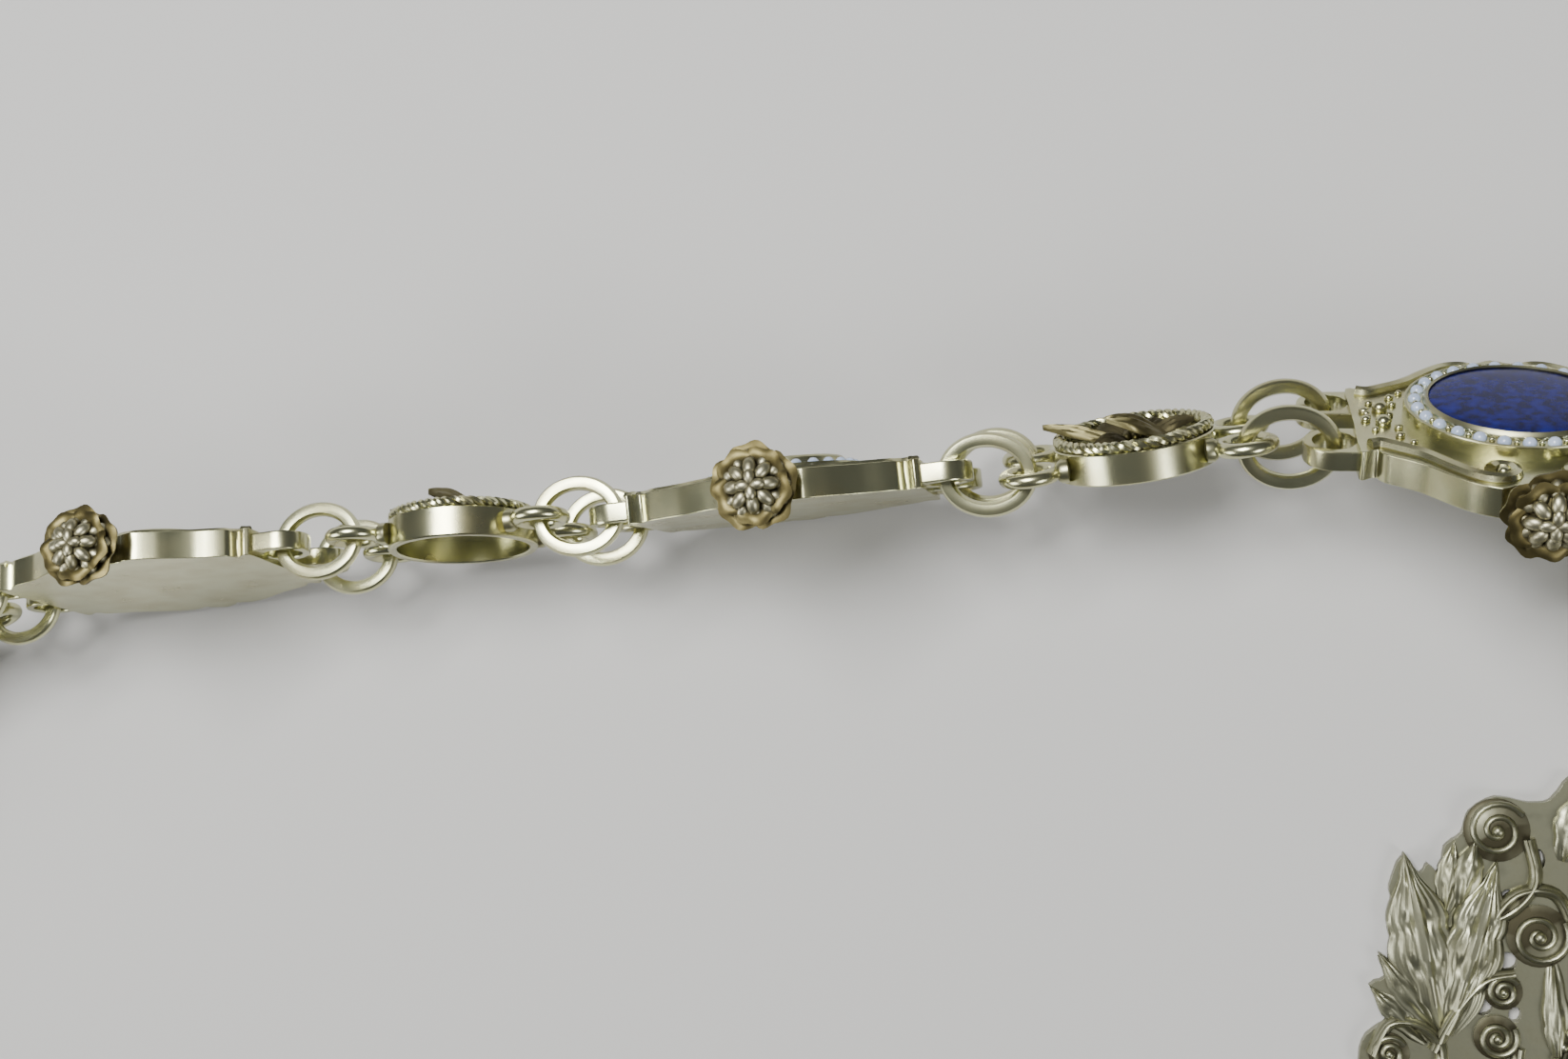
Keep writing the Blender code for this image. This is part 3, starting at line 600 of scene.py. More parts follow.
large_pattern = shaded(joined(large_pieces, "large_link_pattern"), gilt)
patterns.append(large_pattern)

pearl = bpy.data.materials.new("seed_pearl")
pearl.use_nodes = True
pearl_shader = pearl.node_tree.nodes["Principled BSDF"]
pearl_shader.inputs["Roughness"].default_value = 0.22
pearl_shader.inputs["Coat Weight"].default_value = 0.6
pearl_shader.inputs["Coat Roughness"].default_value = 0.1
cloud = pearl.node_tree.nodes.new("ShaderNodeTexNoise")
cloud.inputs["Scale"].default_value = 500.0
cloud_place = pearl.node_tree.nodes.new("ShaderNodeTexCoord")
cloud_tint = pearl.node_tree.nodes.new("ShaderNodeValToRGB")
cloud_tint.color_ramp.elements[0].color = (0.24, 0.31, 0.45, 1.0)
cloud_tint.color_ramp.elements[1].color = (0.52, 0.60, 0.76, 1.0)
pearl.node_tree.links.new(cloud_place.outputs["Object"], cloud.inputs["Vector"])
pearl.node_tree.links.new(cloud.outputs["Fac"], cloud_tint.inputs["Fac"])
pearl.node_tree.links.new(cloud_tint.outputs["Color"], pearl_shader.inputs["Base Color"])


def pearl_round(radius, count, size, height):
    """A round of pearls."""
    steps = [2 * math.pi * i / count for i in range(count)]
    return [ball((radius * math.cos(a), radius * math.sin(a), height), size) for a in steps]


large_pearls = pearl_round((BEZEL_RADIUS + SETTING_RADIUS) / 2, PEARLS, PEARL, PEARL_HEIGHT)
large_pearls = shaded(joined(large_pearls, "large_pearls_pattern"), pearl)
patterns.append(large_pearls)

stone = bpy.data.materials.new("blue_stone_polish")
stone.use_nodes = True
stone_tree = stone.node_tree
stone_shader = stone_tree.nodes["Principled BSDF"]
stone_shader.inputs["Roughness"].default_value = 0.2
stone_shader.inputs["Specular IOR Level"].default_value = 0.1
stone_place = stone_tree.nodes.new("ShaderNodeTexCoord")
mottle = stone_tree.nodes.new("ShaderNodeTexNoise")
mottle.inputs["Scale"].default_value = 700.0
mottle.inputs["Detail"].default_value = 8.0
mottle_tint = stone_tree.nodes.new("ShaderNodeValToRGB")
mottle_tint.color_ramp.elements[0].position = 0.38
mottle_tint.color_ramp.elements[0].color = (0.001, 0.002, 0.035, 1.0)
mottle_tint.color_ramp.elements[1].position = 0.66
mottle_tint.color_ramp.elements[1].color = (0.003, 0.006, 0.13, 1.0)
stone_tree.links.new(stone_place.outputs["Object"], mottle.inputs["Vector"])
stone_tree.links.new(mottle.outputs["Fac"], mottle_tint.inputs["Fac"])
stone_tree.links.new(mottle_tint.outputs["Color"], stone_shader.inputs["Base Color"])


def cabochon(radius, base, girdle, rise):
    """A round stone with a low dome."""
    steps = [math.radians(9 * i) for i in range(1, 11)]
    dome = [(radius * math.sin(a), girdle + rise * math.cos(a)) for a in steps]
    return lathe([(0.0, girdle + rise)] + dome + [(radius, base), (0.0, base)])


large_stone = cabochon(BEZEL_RADIUS - 0.55 * MM, TOP + 0.95 * MM, BEZEL_TOP, 0.9 * MM)
large_stone = shaded(joined([large_stone], "large_stone_pattern"), stone)
patterns.append(large_stone)

for name in around:
    if name.startswith("large"):
        set_down(large_pattern, f"{name}_dressed", places[name], "gilt", name)
        set_down(large_pearls, f"{name}_pearls", places[name], None)
        set_down(large_stone, f"{name}_stone", places[name], "blue_stone")

# Centre link
# The largest link leans back most. Its border is four scrolled bands, its ends are strewn with grains,
# and spaced pearls stand in a channel round a low blue stone in a plain bezel.

CENTRE_HALF = 20.25 * MM
CENTRE_UP_REACH = 18.6 * MM
CENTRE_EDGE = [
    (1.0, 0.10), (1.0, 0.51), (0.90, 0.49), (0.85, 0.56),
    (0.66, 0.68), (0.44, 0.90), (0.26, 1.0), (0.13, 0.95),
]
CENTRE_SETTING = 13.9 * MM
CENTRE_STONE = 10.9 * MM
CENTRE_PEARL = 0.88 * MM
CENTRE_PEARLS = 27
PRONG = 0.38 * MM
PRONG_HEIGHT = TOP + 1.9 * MM
LOOP_PLACE = Vector((13.0, -12.0, -5.7)) * MM
LOOP_DIAMETER = 8.8 * MM
LOOP_WIRE = 1.8 * MM
# One of the four bands, from the lug to the scroll's eye, in mm. The others mirror it.
BAND_RUN = [
    (-19.0, -9.4), (-17.6, -9.0), (-15.6, -10.2), (-12.6, -12.4), (-9.8, -15.8), (-7.0, -18.6), (-4.6, -19.2),
    (-3.1, -18.0), (-3.3, -16.2), (-4.8, -15.6), (-5.8, -16.5),
]
# Place across and up and radius of each grain, in mm
GRAINS = [
    (-16.6, -2.4, 1.05), (-18.7, -1.5, 0.65), (-17.8, -4.6, 0.5), (-14.9, -4.0, 0.55), (-15.6, 0.0, 0.5),
    (-18.4, 0.6, 0.45), (-15.0, -6.6, 0.6), (-13.6, -8.6, 0.5), (-4.4, -17.2, 0.75),
]


def bent(points, steps=6):
    """Points on an open curve through the given ones."""
    dense = []
    for i in range(len(points) - 1):
        four = [Vector(points[min(max(i + k, 0), len(points) - 1)]) for k in (-1, 0, 1, 2)]
        dense += [curve_point(*four, j / steps, 0.5) for j in range(steps)]
    return dense + [Vector(points[-1])]


def band(points, height, width, rise):
    """A solid drawn band laid along points, which stands up by rise from the height of its middle."""
    piece = wire([(x, y, 0.0) for x, y in points], width / 2, sides=2)
    for vertex in piece.data.vertices:
        vertex.co.z = height + vertex.co.z * rise / (width / 2)
    return piece


centre_outline = smoothed(scrolled_outline(CENTRE_EDGE, CENTRE_HALF, CENTRE_DOWN, CENTRE_UP_REACH))
centre_pieces = [slab(centre_outline, -TOP, TOP, 0.4 * MM, 3)] + lugs(CENTRE_HALF)
centre_pieces.append(
    lathe(
        [
            (0.0, TOP + 0.9 * MM), (CENTRE_STONE, TOP + 0.9 * MM), (CENTRE_STONE, TOP + 2.5 * MM),
            (CENTRE_STONE + 0.25 * MM, TOP + 2.7 * MM), (CENTRE_STONE + 0.6 * MM, TOP + 2.3 * MM),
            (CENTRE_STONE + 0.7 * MM, TOP + 1.9 * MM), (CENTRE_SETTING - 0.45 * MM, TOP + 1.6 * MM),
            (CENTRE_SETTING - 0.35 * MM, TOP + 1.9 * MM), (CENTRE_SETTING - 0.05 * MM, TOP + 1.85 * MM),
            (CENTRE_SETTING, TOP + 1.6 * MM), (CENTRE_SETTING, TOP - 0.3 * MM), (0.0, TOP - 0.3 * MM),
        ],
        72,
    )
)
for side_x in (1, -1):
    for side_y, share_y in ((1, 1.0), (-1, CENTRE_UP_REACH / CENTRE_DOWN)):
        run = [(side_x * x * MM, side_y * y * MM * share_y) for x, y in BAND_RUN]
        centre_pieces.append(band(bent(run), TOP + 0.1 * MM, 1.7 * MM, 0.9 * MM))
        for x, y, size in GRAINS:
            grain = (side_x * x * MM, side_y * y * MM * share_y, TOP + size * 0.35 * MM)
            centre_pieces.append(ball(grain, size * MM, 0.85))
prongs = [2 * math.pi * (i + 0.5) / CENTRE_PEARLS for i in range(CENTRE_PEARLS)]
prong_round = (CENTRE_STONE + CENTRE_SETTING) / 2 + 0.1 * MM
for angle in prongs:
    prong = (prong_round * math.cos(angle), prong_round * math.sin(angle), PRONG_HEIGHT)
    centre_pieces.append(ball(prong, PRONG))
loop = oval_ring(LOOP_DIAMETER, LOOP_DIAMETER, LOOP_WIRE, 1.0, 32)
loop.rotation_euler.y = math.radians(90)
loop.location = LOOP_PLACE
centre_pieces.append(loop)
centre_pattern = shaded(joined(centre_pieces, "centre_link_pattern"), gilt)
patterns.append(centre_pattern)
centre_pearls = pearl_round(prong_round, CENTRE_PEARLS, CENTRE_PEARL, TOP + 1.75 * MM)
centre_pearls = shaded(joined(centre_pearls, "centre_pearls_pattern"), pearl)
patterns.append(centre_pearls)
centre_blue = cabochon(CENTRE_STONE - 0.05 * MM, TOP + 0.95 * MM, TOP + 2.2 * MM, 0.8 * MM)
centre_blue = shaded(joined([centre_blue], "centre_stone_pattern"), stone)
patterns.append(centre_blue)

set_down(centre_pattern, "centre_link_dressed", places["centre_link"], "gilt", "centre_link")
set_down(centre_pearls, "centre_link_pearls", places["centre_link"], None)
set_down(centre_blue, "centre_stone_dressed", places["centre_link"], "blue_stone", "centre_stone")

# Roses
# A cast rose with ruffled petals and a heart of grains stands on the worn-down edge of every large link.
# Its gilding is darker and browner than the polished plate.

ROSE_GAP = 0.3 * MM
PETALS = 5
PETAL_ROOT = 1.6 * MM
PETAL_WALL = 0.45 * MM
PETAL_RUFFLE = 0.22 * MM
PETAL_SPREAD = 0.7
FIRST_PETAL = 0.3
# Share of a petal's step that the ring is turned by, then reach, foot and rise of its petals, in mm
PETAL_RINGS = [(0.0, 5.8, 2.1, 2.0), (0.5, 5.1, 3.0, 2.4)]
# How many grains, then radius and height of the ring, their lean in radians and their size
KERNEL_RINGS = [(4, 0.95, 6.7, 1.5, 0.85), (8, 2.4, 6.0, 1.95, 1.0), (12, 3.7, 4.6, 2.2, 1.05)]
# Radius and height down the rose's core and stem, in mm
ROSE_CUP = [
    (0.0, 6.3), (1.6, 6.0), (2.8, 5.0), (3.6, 3.6), (2.4, 2.6), (1.6, 2.0), (1.6, 0.3), (2.2, 0.0),
    (0.0, 0.0),
]
ROSE_GILT = (0.13, 0.11, 0.047, 1.0)
ROSE_DEEP = (0.07, 0.056, 0.021, 1.0)
HEART_GILT = (0.42, 0.40, 0.27, 1.0)
rose_metal = metal("cast_rose_gilt", ROSE_GILT, ROSE_DEEP, 0.8, 420.0, 0.5, 0.22)
heart_metal = metal("worn_rose_heart", HEART_GILT, ROSE_GILT, 0.6, 420.0, 0.2, 0.16)


def petal(turn, reach, foot, rise):
    """One thin broad petal, ruffled round its lip, which curls outward."""
    bpy.ops.object.select_all(action="DESELECT")
    bpy.ops.mesh.primitive_grid_add(x_subdivisions=14, y_subdivisions=9, size=2.0)
    piece = bpy.context.object
    for vertex in piece.data.vertices:
        across = vertex.co.x
        out = (vertex.co.y + 1) / 2
        round_lip = math.sqrt(max(0.0, 1 - (0.8 * across) ** 2))
        radius = PETAL_ROOT + (reach - PETAL_ROOT) * out * (0.45 + 0.55 * round_lip)
        radius += PETAL_RUFFLE * out**2 * math.cos(7 * across + turn)
        angle = turn + across * PETAL_SPREAD
        height = foot + rise * math.sin(out * 1.9) - 0.45 * MM * across**2 * out
        height += PETAL_RUFFLE * out**2 * math.sin(5 * across + 3 * turn)
        vertex.co = (radius * math.cos(angle), radius * math.sin(angle), height)
    wall = piece.modifiers.new("wall", "SOLIDIFY")
    wall.thickness = PETAL_WALL
    wall.offset = 0.0
    bpy.ops.object.modifier_apply(modifier="wall")
    return piece


def kernel(radius, turn, height, lean, size):
    """One long grain of the rose's heart, laid over the dome like a scale of a cone."""
    bpy.ops.object.select_all(action="DESELECT")
    place = (radius * math.cos(turn), radius * math.sin(turn), height)
    bpy.ops.mesh.primitive_ico_sphere_add(subdivisions=2, radius=size, location=place)
    piece = bpy.context.object
    piece.scale = (0.8, 0.9, 1.4)
    piece.rotation_euler = (0.0, lean, turn)
    return piece


petals = [lathe([(radius * MM, height * MM) for radius, height in ROSE_CUP], 24)]
for i in range(PETALS):
    for share, reach, foot, rise in PETAL_RINGS:
        turn = 2 * math.pi * (i + share) / PETALS + FIRST_PETAL
        petals.append(petal(turn, reach * MM, foot * MM, rise * MM))
kernels = []
for count, radius, height, lean, size in KERNEL_RINGS:
    for i in range(count):
        turn = 2 * math.pi * i / count
        kernels.append(kernel(radius * MM, turn, height * MM, lean, size * MM))
rose_petals = shaded(joined(petals, "rose_petals"), rose_metal, 80)
rose_heart = shaded(joined(kernels, "rose_heart"), heart_metal, 50)
# The hollows are marked again over the whole rose, so painted shade also falls where petals and heart meet.
rose_pattern = hollows_marked(joined([rose_petals, rose_heart], "rose_pattern"))
patterns.append(rose_pattern)

for name in around:
    if name.startswith("drum"):
        continue
    down = CENTRE_DOWN if name == "centre_link" else LINK_DOWN
    edge = Matrix.Translation((0.0, -down * SEAT - ROSE_GAP, 0.0))
    seat = places[name] @ edge @ Matrix.Rotation(math.radians(90), 4, "X")
    set_down(rose_pattern, f"{name}_rose_dressed", seat, "rose_gilt", f"{name}_rose")

# Drum links
# A shallow polished drum, open behind, has a rope of twisted wire round its front, a spray of leaves inside
# the rope, and four wire eyes that are soldered to its wall with collars.

DRUM_RADIUS = 10.75 * MM
DRUM_TOP = 2.15 * MM
DRUM_WALL = 1.2 * MM
DRUM_EASE = 0.2 * MM
DRUM_PLATE = 1.5 * MM
ROPE_ROUND = 9.9 * MM
ROPE_STRAND = 0.42 * MM
ROPE_TWISTS = 17
EYE_MIDDLE = 3.3 * MM
EYE_WIRE = 1.0 * MM
COLLAR_PLACE = 9.6 * MM
# Radius and height down a collar, in mm
COLLAR = [(0.0, 0.9), (1.25, 0.8), (1.6, 0.3), (1.6, -0.6), (0.0, -0.9)]
# Base, tip, width, arch and how far the tip curls up, in mm
SPRAY = [
    ((4.8, -3.4), (-3.2, -5.0), 5.4, 2.2, 3.8), ((-1.6, -1.0), (-11.8, 0.8), 2.2, 1.4, 3.0),
    ((1.4, -0.4), (8.2, -0.6), 3.2, 1.4, 1.6), ((-0.6, 1.0), (-5.2, 6.4), 3.4, 1.8, 0.0),
    ((1.0, 1.2), (4.6, 6.6), 3.2, 1.5, 0.0), ((-1.0, -1.0), (-5.6, -5.8), 3.0, 1.5, 0.4),
    ((0.2, 1.4), (0.4, 7.8), 3.0, 1.4, 0.0),
]
LEAF_HEIGHT = 1.8 * MM
BUDS = 5
LEAF_GILT = (0.15, 0.135, 0.065, 1.0)


def rope(middle, height, strand, twists):
    """A closed rope of three twisted wires."""
    strands = []
    steps = twists * 10
    for start in (0.0, 2.094, 4.189):
        run = []
        for i in range(steps):
            turn = 2 * math.pi * i / steps
            twist = start - twists * turn
            radius = middle + strand * 1.05 * math.cos(twist)
            lift = height + strand * 1.05 * math.sin(twist)
            run.append((radius * math.cos(turn), radius * math.sin(turn), lift))
        strands.append(wire(run, strand, closed=True, sides=1))
    return strands


def curled_leaf(
    base, tip, width, height, lift, lobes=0.0, veins=3, thick=0.35 * MM, mesh_steps=(16, 22), rise=0.0,
):
    """A leaf with a midrib and slanting veins, arched off the plate; a lobed one has eyes by its midrib.

    rise is how far its tip curls up from the plate.
    """
    bpy.ops.object.select_all(action="DESELECT")
    bpy.ops.mesh.primitive_grid_add(x_subdivisions=mesh_steps[0], y_subdivisions=mesh_steps[1], size=2.0)
    piece = bpy.context.object
    along = Vector(tip) - Vector(base)
    side = Vector((-along.y, along.x)).normalized()
    for vertex in piece.data.vertices:
        across = vertex.co.x
        out = (vertex.co.y + 1) / 2
        half = width / 2 * math.sin(math.pi * (0.08 + 0.84 * out)) ** 0.72 * min(1.0, 2.6 * (1 - out)) ** 0.7
        half *= 1 + lobes * (abs(math.sin(out * 3.5 * math.pi)) - 0.5)
        spot = Vector(base) + along * (out + 0.05 * abs(across) * out * (1 - out)) + side * half * across
        slant = across * veins - 0.8 * out * math.copysign(1.0, across)
        rib = 0.13 * MM * math.cos(2 * math.pi * slant) * math.sin(math.pi * out)
        arch = lift * math.sin(math.pi * out * 0.93) * (1 - 0.7 * across**2) + rise * out**1.4
        eye = abs(math.sin(out * 4 * math.pi)) ** 6 * math.exp(-(((abs(across) - 0.33) / 0.13) ** 2))
        pit = 0.5 * MM * eye * lobes * 5 * math.sin(math.pi * out)
        crest = 0.45 * MM * max(0.0, 1 - 4 * abs(across)) * (1 - 0.6 * out)
        vertex.co = (spot.x, spot.y, height + arch + rib + crest - pit)
    bpy.ops.object.mode_set(mode="EDIT")
    bpy.ops.mesh.select_all(action="SELECT")
    bpy.ops.mesh.extrude_region_move(TRANSFORM_OT_translate={"value": (0.0, 0.0, -thick)})
    bpy.ops.mesh.select_all(action="SELECT")
    bpy.ops.mesh.remove_doubles(threshold=0.001 * MM)
    bpy.ops.mesh.normals_make_consistent(inside=False)
    bpy.ops.object.mode_set(mode="OBJECT")
    return piece


drum_pieces = [
    lathe(
        [
            (0.0, DRUM_PLATE), (7.4 * MM, DRUM_PLATE), (8.7 * MM, DRUM_PLATE), (8.8 * MM, 2.0 * MM),
            (DRUM_RADIUS - 0.15 * MM, 2.1 * MM), (DRUM_RADIUS, DRUM_TOP - DRUM_EASE),
            (DRUM_RADIUS, DRUM_EASE - DRUM_TOP), (DRUM_RADIUS - DRUM_EASE, -DRUM_TOP),
            (DRUM_RADIUS - DRUM_WALL + DRUM_EASE, -DRUM_TOP), (DRUM_RADIUS - DRUM_WALL, DRUM_EASE - DRUM_TOP),
            (DRUM_RADIUS - DRUM_WALL, DRUM_FLOOR), (8.2 * MM, DRUM_FLOOR), (0.0, DRUM_FLOOR),
        ],
        80,
    )
]
drum_pieces += rope(ROPE_ROUND, DRUM_TOP + 0.65 * MM, ROPE_STRAND, ROPE_TWISTS)
for end in (-1, 1):
    for side in (-1, 1):
        eye_size = 2 * (EYE_MIDDLE + EYE_WIRE)
        eye = oval_ring(eye_size, eye_size, 2 * EYE_WIRE, 1.0, 36)
        eye.location = (end * EYE_REACH, side * LUG_SPREAD / 2, 0.0)
        drum_pieces.append(eye)
        collar = lathe([(radius * MM, height * MM) for radius, height in COLLAR], 20)
        collar.rotation_euler.y = end * math.radians(90)
        collar.location = (end * COLLAR_PLACE, side * LUG_SPREAD / 2, 0.0)
        drum_pieces.append(collar)
leaf_metal = metal("matt_leaf_gilt", LEAF_GILT, ROSE_DEEP, 0.7, 300.0, 0.4, 0.2)
leaves = []
for base, tip, width, lift, rise in SPRAY:
    leaf_base = (base[0] * MM, base[1] * MM)
    leaf_tip = (tip[0] * MM, tip[1] * MM)
    leaves.append(curled_leaf(leaf_base, leaf_tip, width * MM, LEAF_HEIGHT, lift * MM, rise=rise * MM))
for i in range(BUDS):
    angle = 2 * math.pi * i / BUDS
    leaves.append(ball((1.0 * MM * math.cos(angle), 1.0 * MM * math.sin(angle), 2.3 * MM), 0.6 * MM))
leaves.append(ball((0.0, 0.0, 2.8 * MM), 0.7 * MM))
leaves = shaded(joined(leaves, "drum_leaves"), leaf_metal)
drum_body = shaded(joined(drum_pieces, "drum_body"), gilt)
# The hollows are marked again over the whole drum, so painted shade also falls where leaves lie on the plate.
drum_pattern = hollows_marked(joined([drum_body, leaves], "drum_pattern"))
patterns.append(drum_pattern)

for name in around:
    if name.startswith("drum"):
        set_down(drum_pattern, f"{name}_dressed", places[name], "gilt", name)

# Hanger
# Plain rings of round silver-gilt wire, soldered shut, hang from a loop behind the centre link and carry
# the badge. The photograph doesn't show them.

HANGER_LENGTH = 12.4 * MM
HANGER_WIDTH = 10.5 * MM
HANGER_WIRE = 1.8 * MM

hanger_pattern = oval_ring(HANGER_LENGTH, HANGER_WIDTH, HANGER_WIRE, 1.0, 40)
hanger_pattern = shaded(joined([hanger_pattern], "hanger_pattern"), gilt)
patterns.append(hanger_pattern)
for name in sorted(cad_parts):
    if not name.startswith("hanger_ring"):
        continue
    corners = np.array([vertex.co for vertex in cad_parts[name].data.vertices])
    corners = np.unique(corners.round(7), axis=0)
    middle = corners.mean(axis=0)
    axes = np.linalg.svd(corners - middle)[2]
    long_way = Vector(axes[0])
    short_way = Vector(axes[1])
    turn = Matrix((long_way, short_way, long_way.cross(short_way))).transposed().to_4x4()
    set_down(hanger_pattern, f"{name}_dressed", Matrix.Translation(middle) @ turn, "gilt", name)

# Badge
# A pierced and cast badge of leaves and scrolls lies face up. It is satin-finished, with burnished ridges,
# round a plain oval of blue enamel.

BADGE_WIDTH = 82.0 * MM
BADGE_HEIGHT = 96.0 * MM
BADGE_CORE = 1.49 * MM
BADGE_THICK = 2.4 * MM
BAR = 2.2 * MM
ROUNDEL_WIDTH = 27.0 * MM
ROUNDEL_HEIGHT = 35.0 * MM
ROUNDEL_POINTS = 72
BEADS = 56
BAIL_TURN = math.radians(18)
BADGE_EASE = 0.3 * MM
SATIN = (0.31, 0.31, 0.215, 1.0)
SATIN_DEEP = (0.18, 0.175, 0.11, 1.0)
# The colour of painted shade and dirt in the badge's hollows.
SATIN_GRIME_AND_SHADE = (0.055, 0.05, 0.03, 1.0)
satin = metal("satin_badge_gilt", SATIN, SATIN_DEEP, 0.7, 260.0, 0.6, 0.14, SATIN_GRIME_AND_SHADE)

# The outline's left half from the top down, as shares of half the width and height
BADGE_EDGE = [
    (-0.09, 0.97), (-0.17, 0.875), (-0.25, 0.93), (-0.32, 0.95), (-0.38, 0.885), (-0.45, 0.875),
    (-0.555, 0.89), (-0.64, 0.845), (-0.665, 0.78), (-0.72, 0.74), (-0.735, 0.66), (-0.775, 0.69),
    (-0.80, 0.66), (-0.86, 0.705), (-0.90, 0.62), (-0.893, 0.57), (-0.905, 0.49), (-0.875, 0.40),
    (-0.935, 0.41), (-0.915, 0.35), (-0.965, 0.325), (-0.91, 0.26), (-0.89, 0.235), (-0.975, 0.18),
    (-1.0, 0.10), (-0.93, 0.02), (-0.88, -0.02), (-0.94, -0.12), (-0.97, -0.26), (-0.90, -0.40),
    (-0.80, -0.52), (-0.74, -0.48), (-0.72, -0.62), (-0.60, -0.76), (-0.52, -0.86), (-0.40, -0.88),
    (-0.30, -0.82), (-0.22, -0.88), (-0.12, -0.93),
]
# Each hole's middle as the same shares, and its width and height in bars
GAPS = [
    (-0.425, 0.71, 1.0, 1.5), (-0.515, 0.605, 0.9, 0.8), (-0.52, 0.415, 1.3, 1.2), (-0.60, 0.28, 1.4, 1.1),
    (-0.495, 0.262, 0.8, 1.0), (-0.17, 0.64, 1.0, 1.6), (-0.70, 0.05, 1.6, 0.9), (-0.55, -0.10, 1.3, 1.3),
    (-0.76, -0.28, 1.0, 1.6), (-0.54, -0.33, 1.0, 1.4), (-0.44, -0.57, 1.2, 1.3), (-0.20, -0.62, 1.0, 1.6),
]
# Base, tip, width and arch of each leaf, in mm
BADGE_LEAVES = [
    ((-30.0, 9.0), (-35.0, 34.6), 8.8, 1.5), ((-29.0, 9.6), (-22.6, 34.0), 7.8, 1.9),
    ((-29.6, 26.0), (-28.2, 36.4), 3.6, 0.8), ((-30.2, 9.2), (-38.4, 20.4), 4.0, 1.0),
    ((-32.0, 8.0), (-39.6, 15.6), 3.4, 0.9), ((-27.6, 27.0), (-25.4, 37.0), 3.8, 1.6),
    ((-15.4, 20.4), (-14.6, 4.6), 3.4, 1.4), ((-14.0, 34.0), (-11.6, 44.0), 4.6, 1.5),
    ((-31.0, -3.0), (-36.4, -20.4), 6.2, 1.7), ((-25.6, -10.4), (-27.2, -31.8), 6.4, 1.9),
    ((-13.6, -26.6), (-6.8, -42.6), 5.8, 1.7), ((-6.4, 19.8), (-10.4, 32.0), 5.2, 1.5),
    ((-16.4, -3.0), (-25.6, -8.4), 5.4, 1.6), ((-16.0, 2.4), (-25.0, 4.4), 4.4, 1.3),
    ((-8.6, -18.0), (-11.2, -31.4), 5.4, 1.6), ((-29.2, -13.0), (-33.2, -26.4), 4.8, 1.4),
    ((-33.0, -1.0), (-38.6, -14.6), 4.4, 1.3), ((-20.0, -22.6), (-22.4, -34.6), 4.6, 1.4),
    ((-22.8, -33.0), (-28.2, -35.6), 3.6, 1.0), ((-8.2, 34.0), (-5.4, 42.6), 4.0, 1.3),
]
# Middle and radius of each volute, in mm, and the way it winds
VOLUTES = [
    (-22.7, 38.1, 4.4, 1), (-17.2, 23.6, 4.3, -1), (-21.9, 15.8, 2.6, 1), (-22.7, 9.3, 3.1, -1),
    (-37.0, 6.4, 2.8, 1), (-17.2, -19.2, 3.6, 1), (-17.6, -37.4, 4.2, -1),
]
# Each stem's points, in mm
STEMS = [
    [(-12.4, 24.0), (-15.0, 29.4), (-20.2, 29.2), (-24.0, 24.0), (-26.0, 17.0), (-29.4, 9.6)],
    [(-20.4, 18.2), (-24.4, 17.0), (-28.2, 12.4), (-31.0, 7.0)],
    [(-18.6, 37.0), (-17.6, 31.4), (-20.4, 27.2), (-24.6, 25.0)],
    [(-39.2, 6.0), (-37.0, 10.4), (-33.0, 10.4), (-30.0, 7.2), (-31.0, 0.0), (-32.6, -6.4)],
    [(-19.8, 8.0), (-21.0, 3.0), (-25.6, -2.0), (-30.8, -3.4)],
    [(-14.0, -18.6), (-15.6, -13.6), (-20.6, -11.2), (-26.0, -9.4)],
    [(-13.8, -36.0), (-14.8, -30.4), (-20.4, -27.0), (-26.8, -24.6)],
]

badge_low, badge_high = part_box("badge_frame")
badge_place = Vector(((badge_low.x + badge_high.x) / 2, badge_low.y + BADGE_HEIGHT / 2, badge_low.z))


def oval_points(width, height, count, middle=(0.0, 0.0)):
    """Points round an upright oval."""
    steps = [2 * math.pi * i / count for i in range(count)]
    return [(middle[0] + width / 2 * math.cos(a), middle[1] + height / 2 * math.sin(a)) for a in steps]


left_edge = [(x * BADGE_WIDTH / 2, y * BADGE_HEIGHT / 2) for x, y in BADGE_EDGE]
badge_outline = [(0.0, BADGE_HEIGHT / 2)] + left_edge + [(0.0, -BADGE_HEIGHT / 2)]
badge_outline += [(-x, y) for x, y in reversed(left_edge)]
badge_plate = slab(smoothed(badge_outline, 3), 0.0, BADGE_CORE, 0.0)
window = oval_points(ROUNDEL_WIDTH - 2 * BAR, ROUNDEL_HEIGHT - 2 * BAR, 48)
drills = [slab(window, -MM, 2 * BADGE_THICK, 0.0)]
for x, y, width, height in GAPS:
    for side in (-1, 1):
        middle = (side * x * BADGE_WIDTH / 2, y * BADGE_HEIGHT / 2)
        drills.append(slab(oval_points(width * BAR, height * BAR, 12, middle), -MM, 2 * BADGE_THICK, 0.0))
drill = joined(drills, "badge_drill")
piercing = badge_plate.modifiers.new("pierced", "BOOLEAN")
piercing.operation = "DIFFERENCE"
piercing.object = drill
bpy.context.view_layer.objects.active = badge_plate
bpy.ops.object.modifier_apply(modifier="pierced")
bpy.data.objects.remove(drill, do_unlink=True)
rounding = badge_plate.modifiers.new("eased", "BEVEL")
rounding.width = BADGE_EASE
rounding.segments = 2
rounding.angle_limit = math.radians(50)
bpy.ops.object.modifier_apply(modifier="eased")

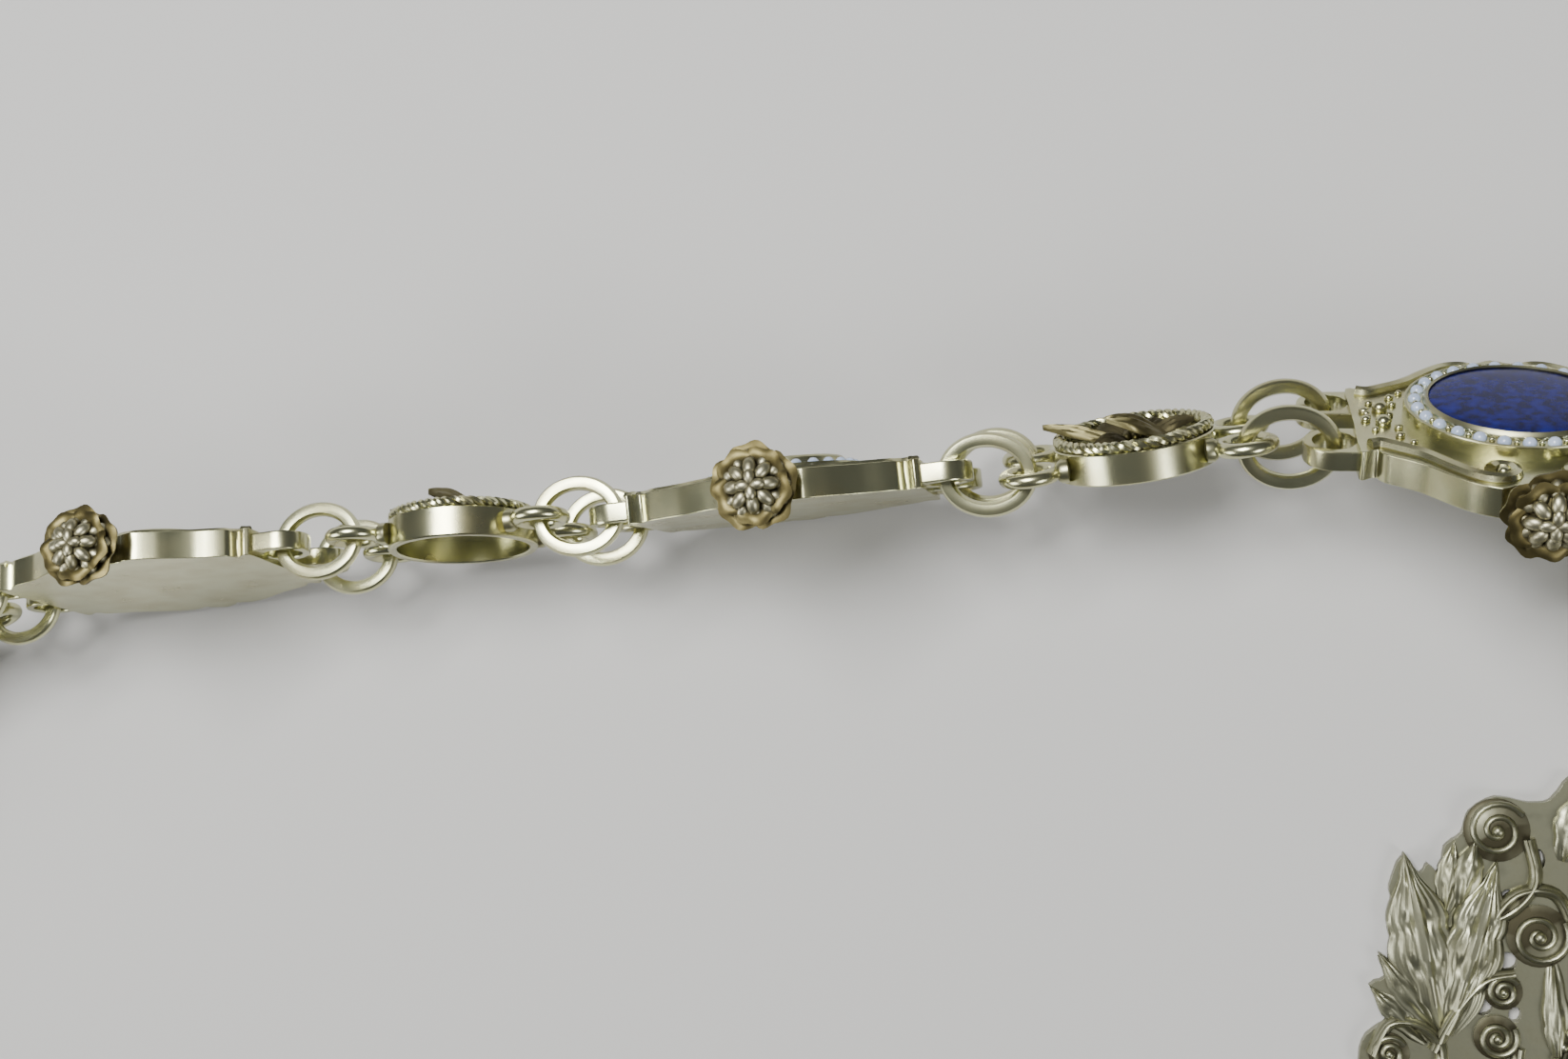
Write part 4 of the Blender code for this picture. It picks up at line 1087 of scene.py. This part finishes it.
badge_pieces = [badge_plate]
for side in (1, -1):
    for base, tip, width, lift in BADGE_LEAVES:
        ends = [(side * x * MM, y * MM) for x, y in (base, tip)]
        fine = (0.24, 4, 1.2 * MM, (30, 44)) if width > 5 else (0.12, 1.5, 1.2 * MM, (16, 26))
        badge_pieces.append(curled_leaf(*ends, width * MM, BADGE_CORE, lift * MM, *fine))
    for x, y, radius, turn in VOLUTES:
        middle = (side * x * MM, y * MM)
        dished = [(0.0, 0.9), (radius * 0.6, 0.8), (radius, 0.3), (radius, -0.7), (0.0, -0.7)]
        disc = lathe([(out * MM, height * MM) for out, height in dished], 28)
        disc.location = (*middle, BADGE_CORE)
        badge_pieces.append(disc)
        winding = side * turn * 1.9
        curl = spiral(middle, (radius - 0.4) * MM, 0.6, winding, BADGE_CORE + 0.8 * MM, 0.12, 40)
        badge_pieces.append(wire(curl, 0.45 * MM))
        badge_pieces.append(ball((*middle, BADGE_CORE + 1.1 * MM), radius * 0.2 * MM))
    for stem in STEMS:
        run = bent([(side * x * MM, y * MM) for x, y in stem])
        badge_pieces.append(band(run, BADGE_CORE + 0.1 * MM, 1.9 * MM, 1.0 * MM))
        ridge = [(point[0], point[1], BADGE_CORE + 1.0 * MM) for point in run]
        badge_pieces.append(wire(ridge, 0.32 * MM))
for root, tip, width in ((19.0, 46.0, 11.0), (-19.0, -46.0, 10.0)):
    ends = [(0.0, root * MM), (0.0, tip * MM)]
    fine = (0.2, 4, 1.2 * MM, (30, 44))
    badge_pieces.append(curled_leaf(*ends, width * MM, BADGE_CORE, 2.3 * MM, *fine))
for wider, level, thick in ((0.8 * MM, BADGE_THICK, 1.0 * MM), (-1.2 * MM, BADGE_CORE, 1.1 * MM)):
    rim = oval_points(ROUNDEL_WIDTH + wider, ROUNDEL_HEIGHT + wider, ROUNDEL_POINTS)
    badge_pieces.append(wire([(x, y, level) for x, y in rim], thick, closed=True))
for x, y in oval_points(ROUNDEL_WIDTH + 4.2 * MM, ROUNDEL_HEIGHT + 4.2 * MM, BEADS):
    badge_pieces.append(ball((x, y, BADGE_CORE + 0.5 * MM), 0.75 * MM))
bail = oval_ring(LOOP_DIAMETER, LOOP_DIAMETER, LOOP_WIRE, 1.0, 32)
bail.rotation_euler = (0.0, math.radians(90), BAIL_TURN)
bail.location = (0.0, BADGE_HEIGHT / 2 + LOOP_WIRE * 0.6, LOOP_DIAMETER / 2)
badge_pieces.append(bail)
badge_pattern = shaded(joined(badge_pieces, "badge_pattern"), satin, 45)
patterns.append(badge_pattern)
badge_matrix = Matrix.Translation(badge_place)
set_down(badge_pattern, "badge_dressed", badge_matrix, "satin_gilt", "badge_frame")

roundel_low, roundel_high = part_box("badge_roundel")
roundel_edge = oval_points(ROUNDEL_WIDTH, ROUNDEL_HEIGHT, ROUNDEL_POINTS)
roundel = slab(roundel_edge, roundel_low.z - badge_place.z, roundel_high.z - badge_place.z, 0.7 * MM, 4)
roundel_pattern = shaded(joined([roundel], "roundel_pattern"), stone)
patterns.append(roundel_pattern)
set_down(roundel_pattern, "badge_roundel_dressed", badge_matrix, "blue_stone", "badge_roundel")

# Clearing the bench
# Each pattern was a piece to copy where it belongs, so none of them stays.

for pattern in patterns:
    bpy.data.objects.remove(pattern, do_unlink=True)
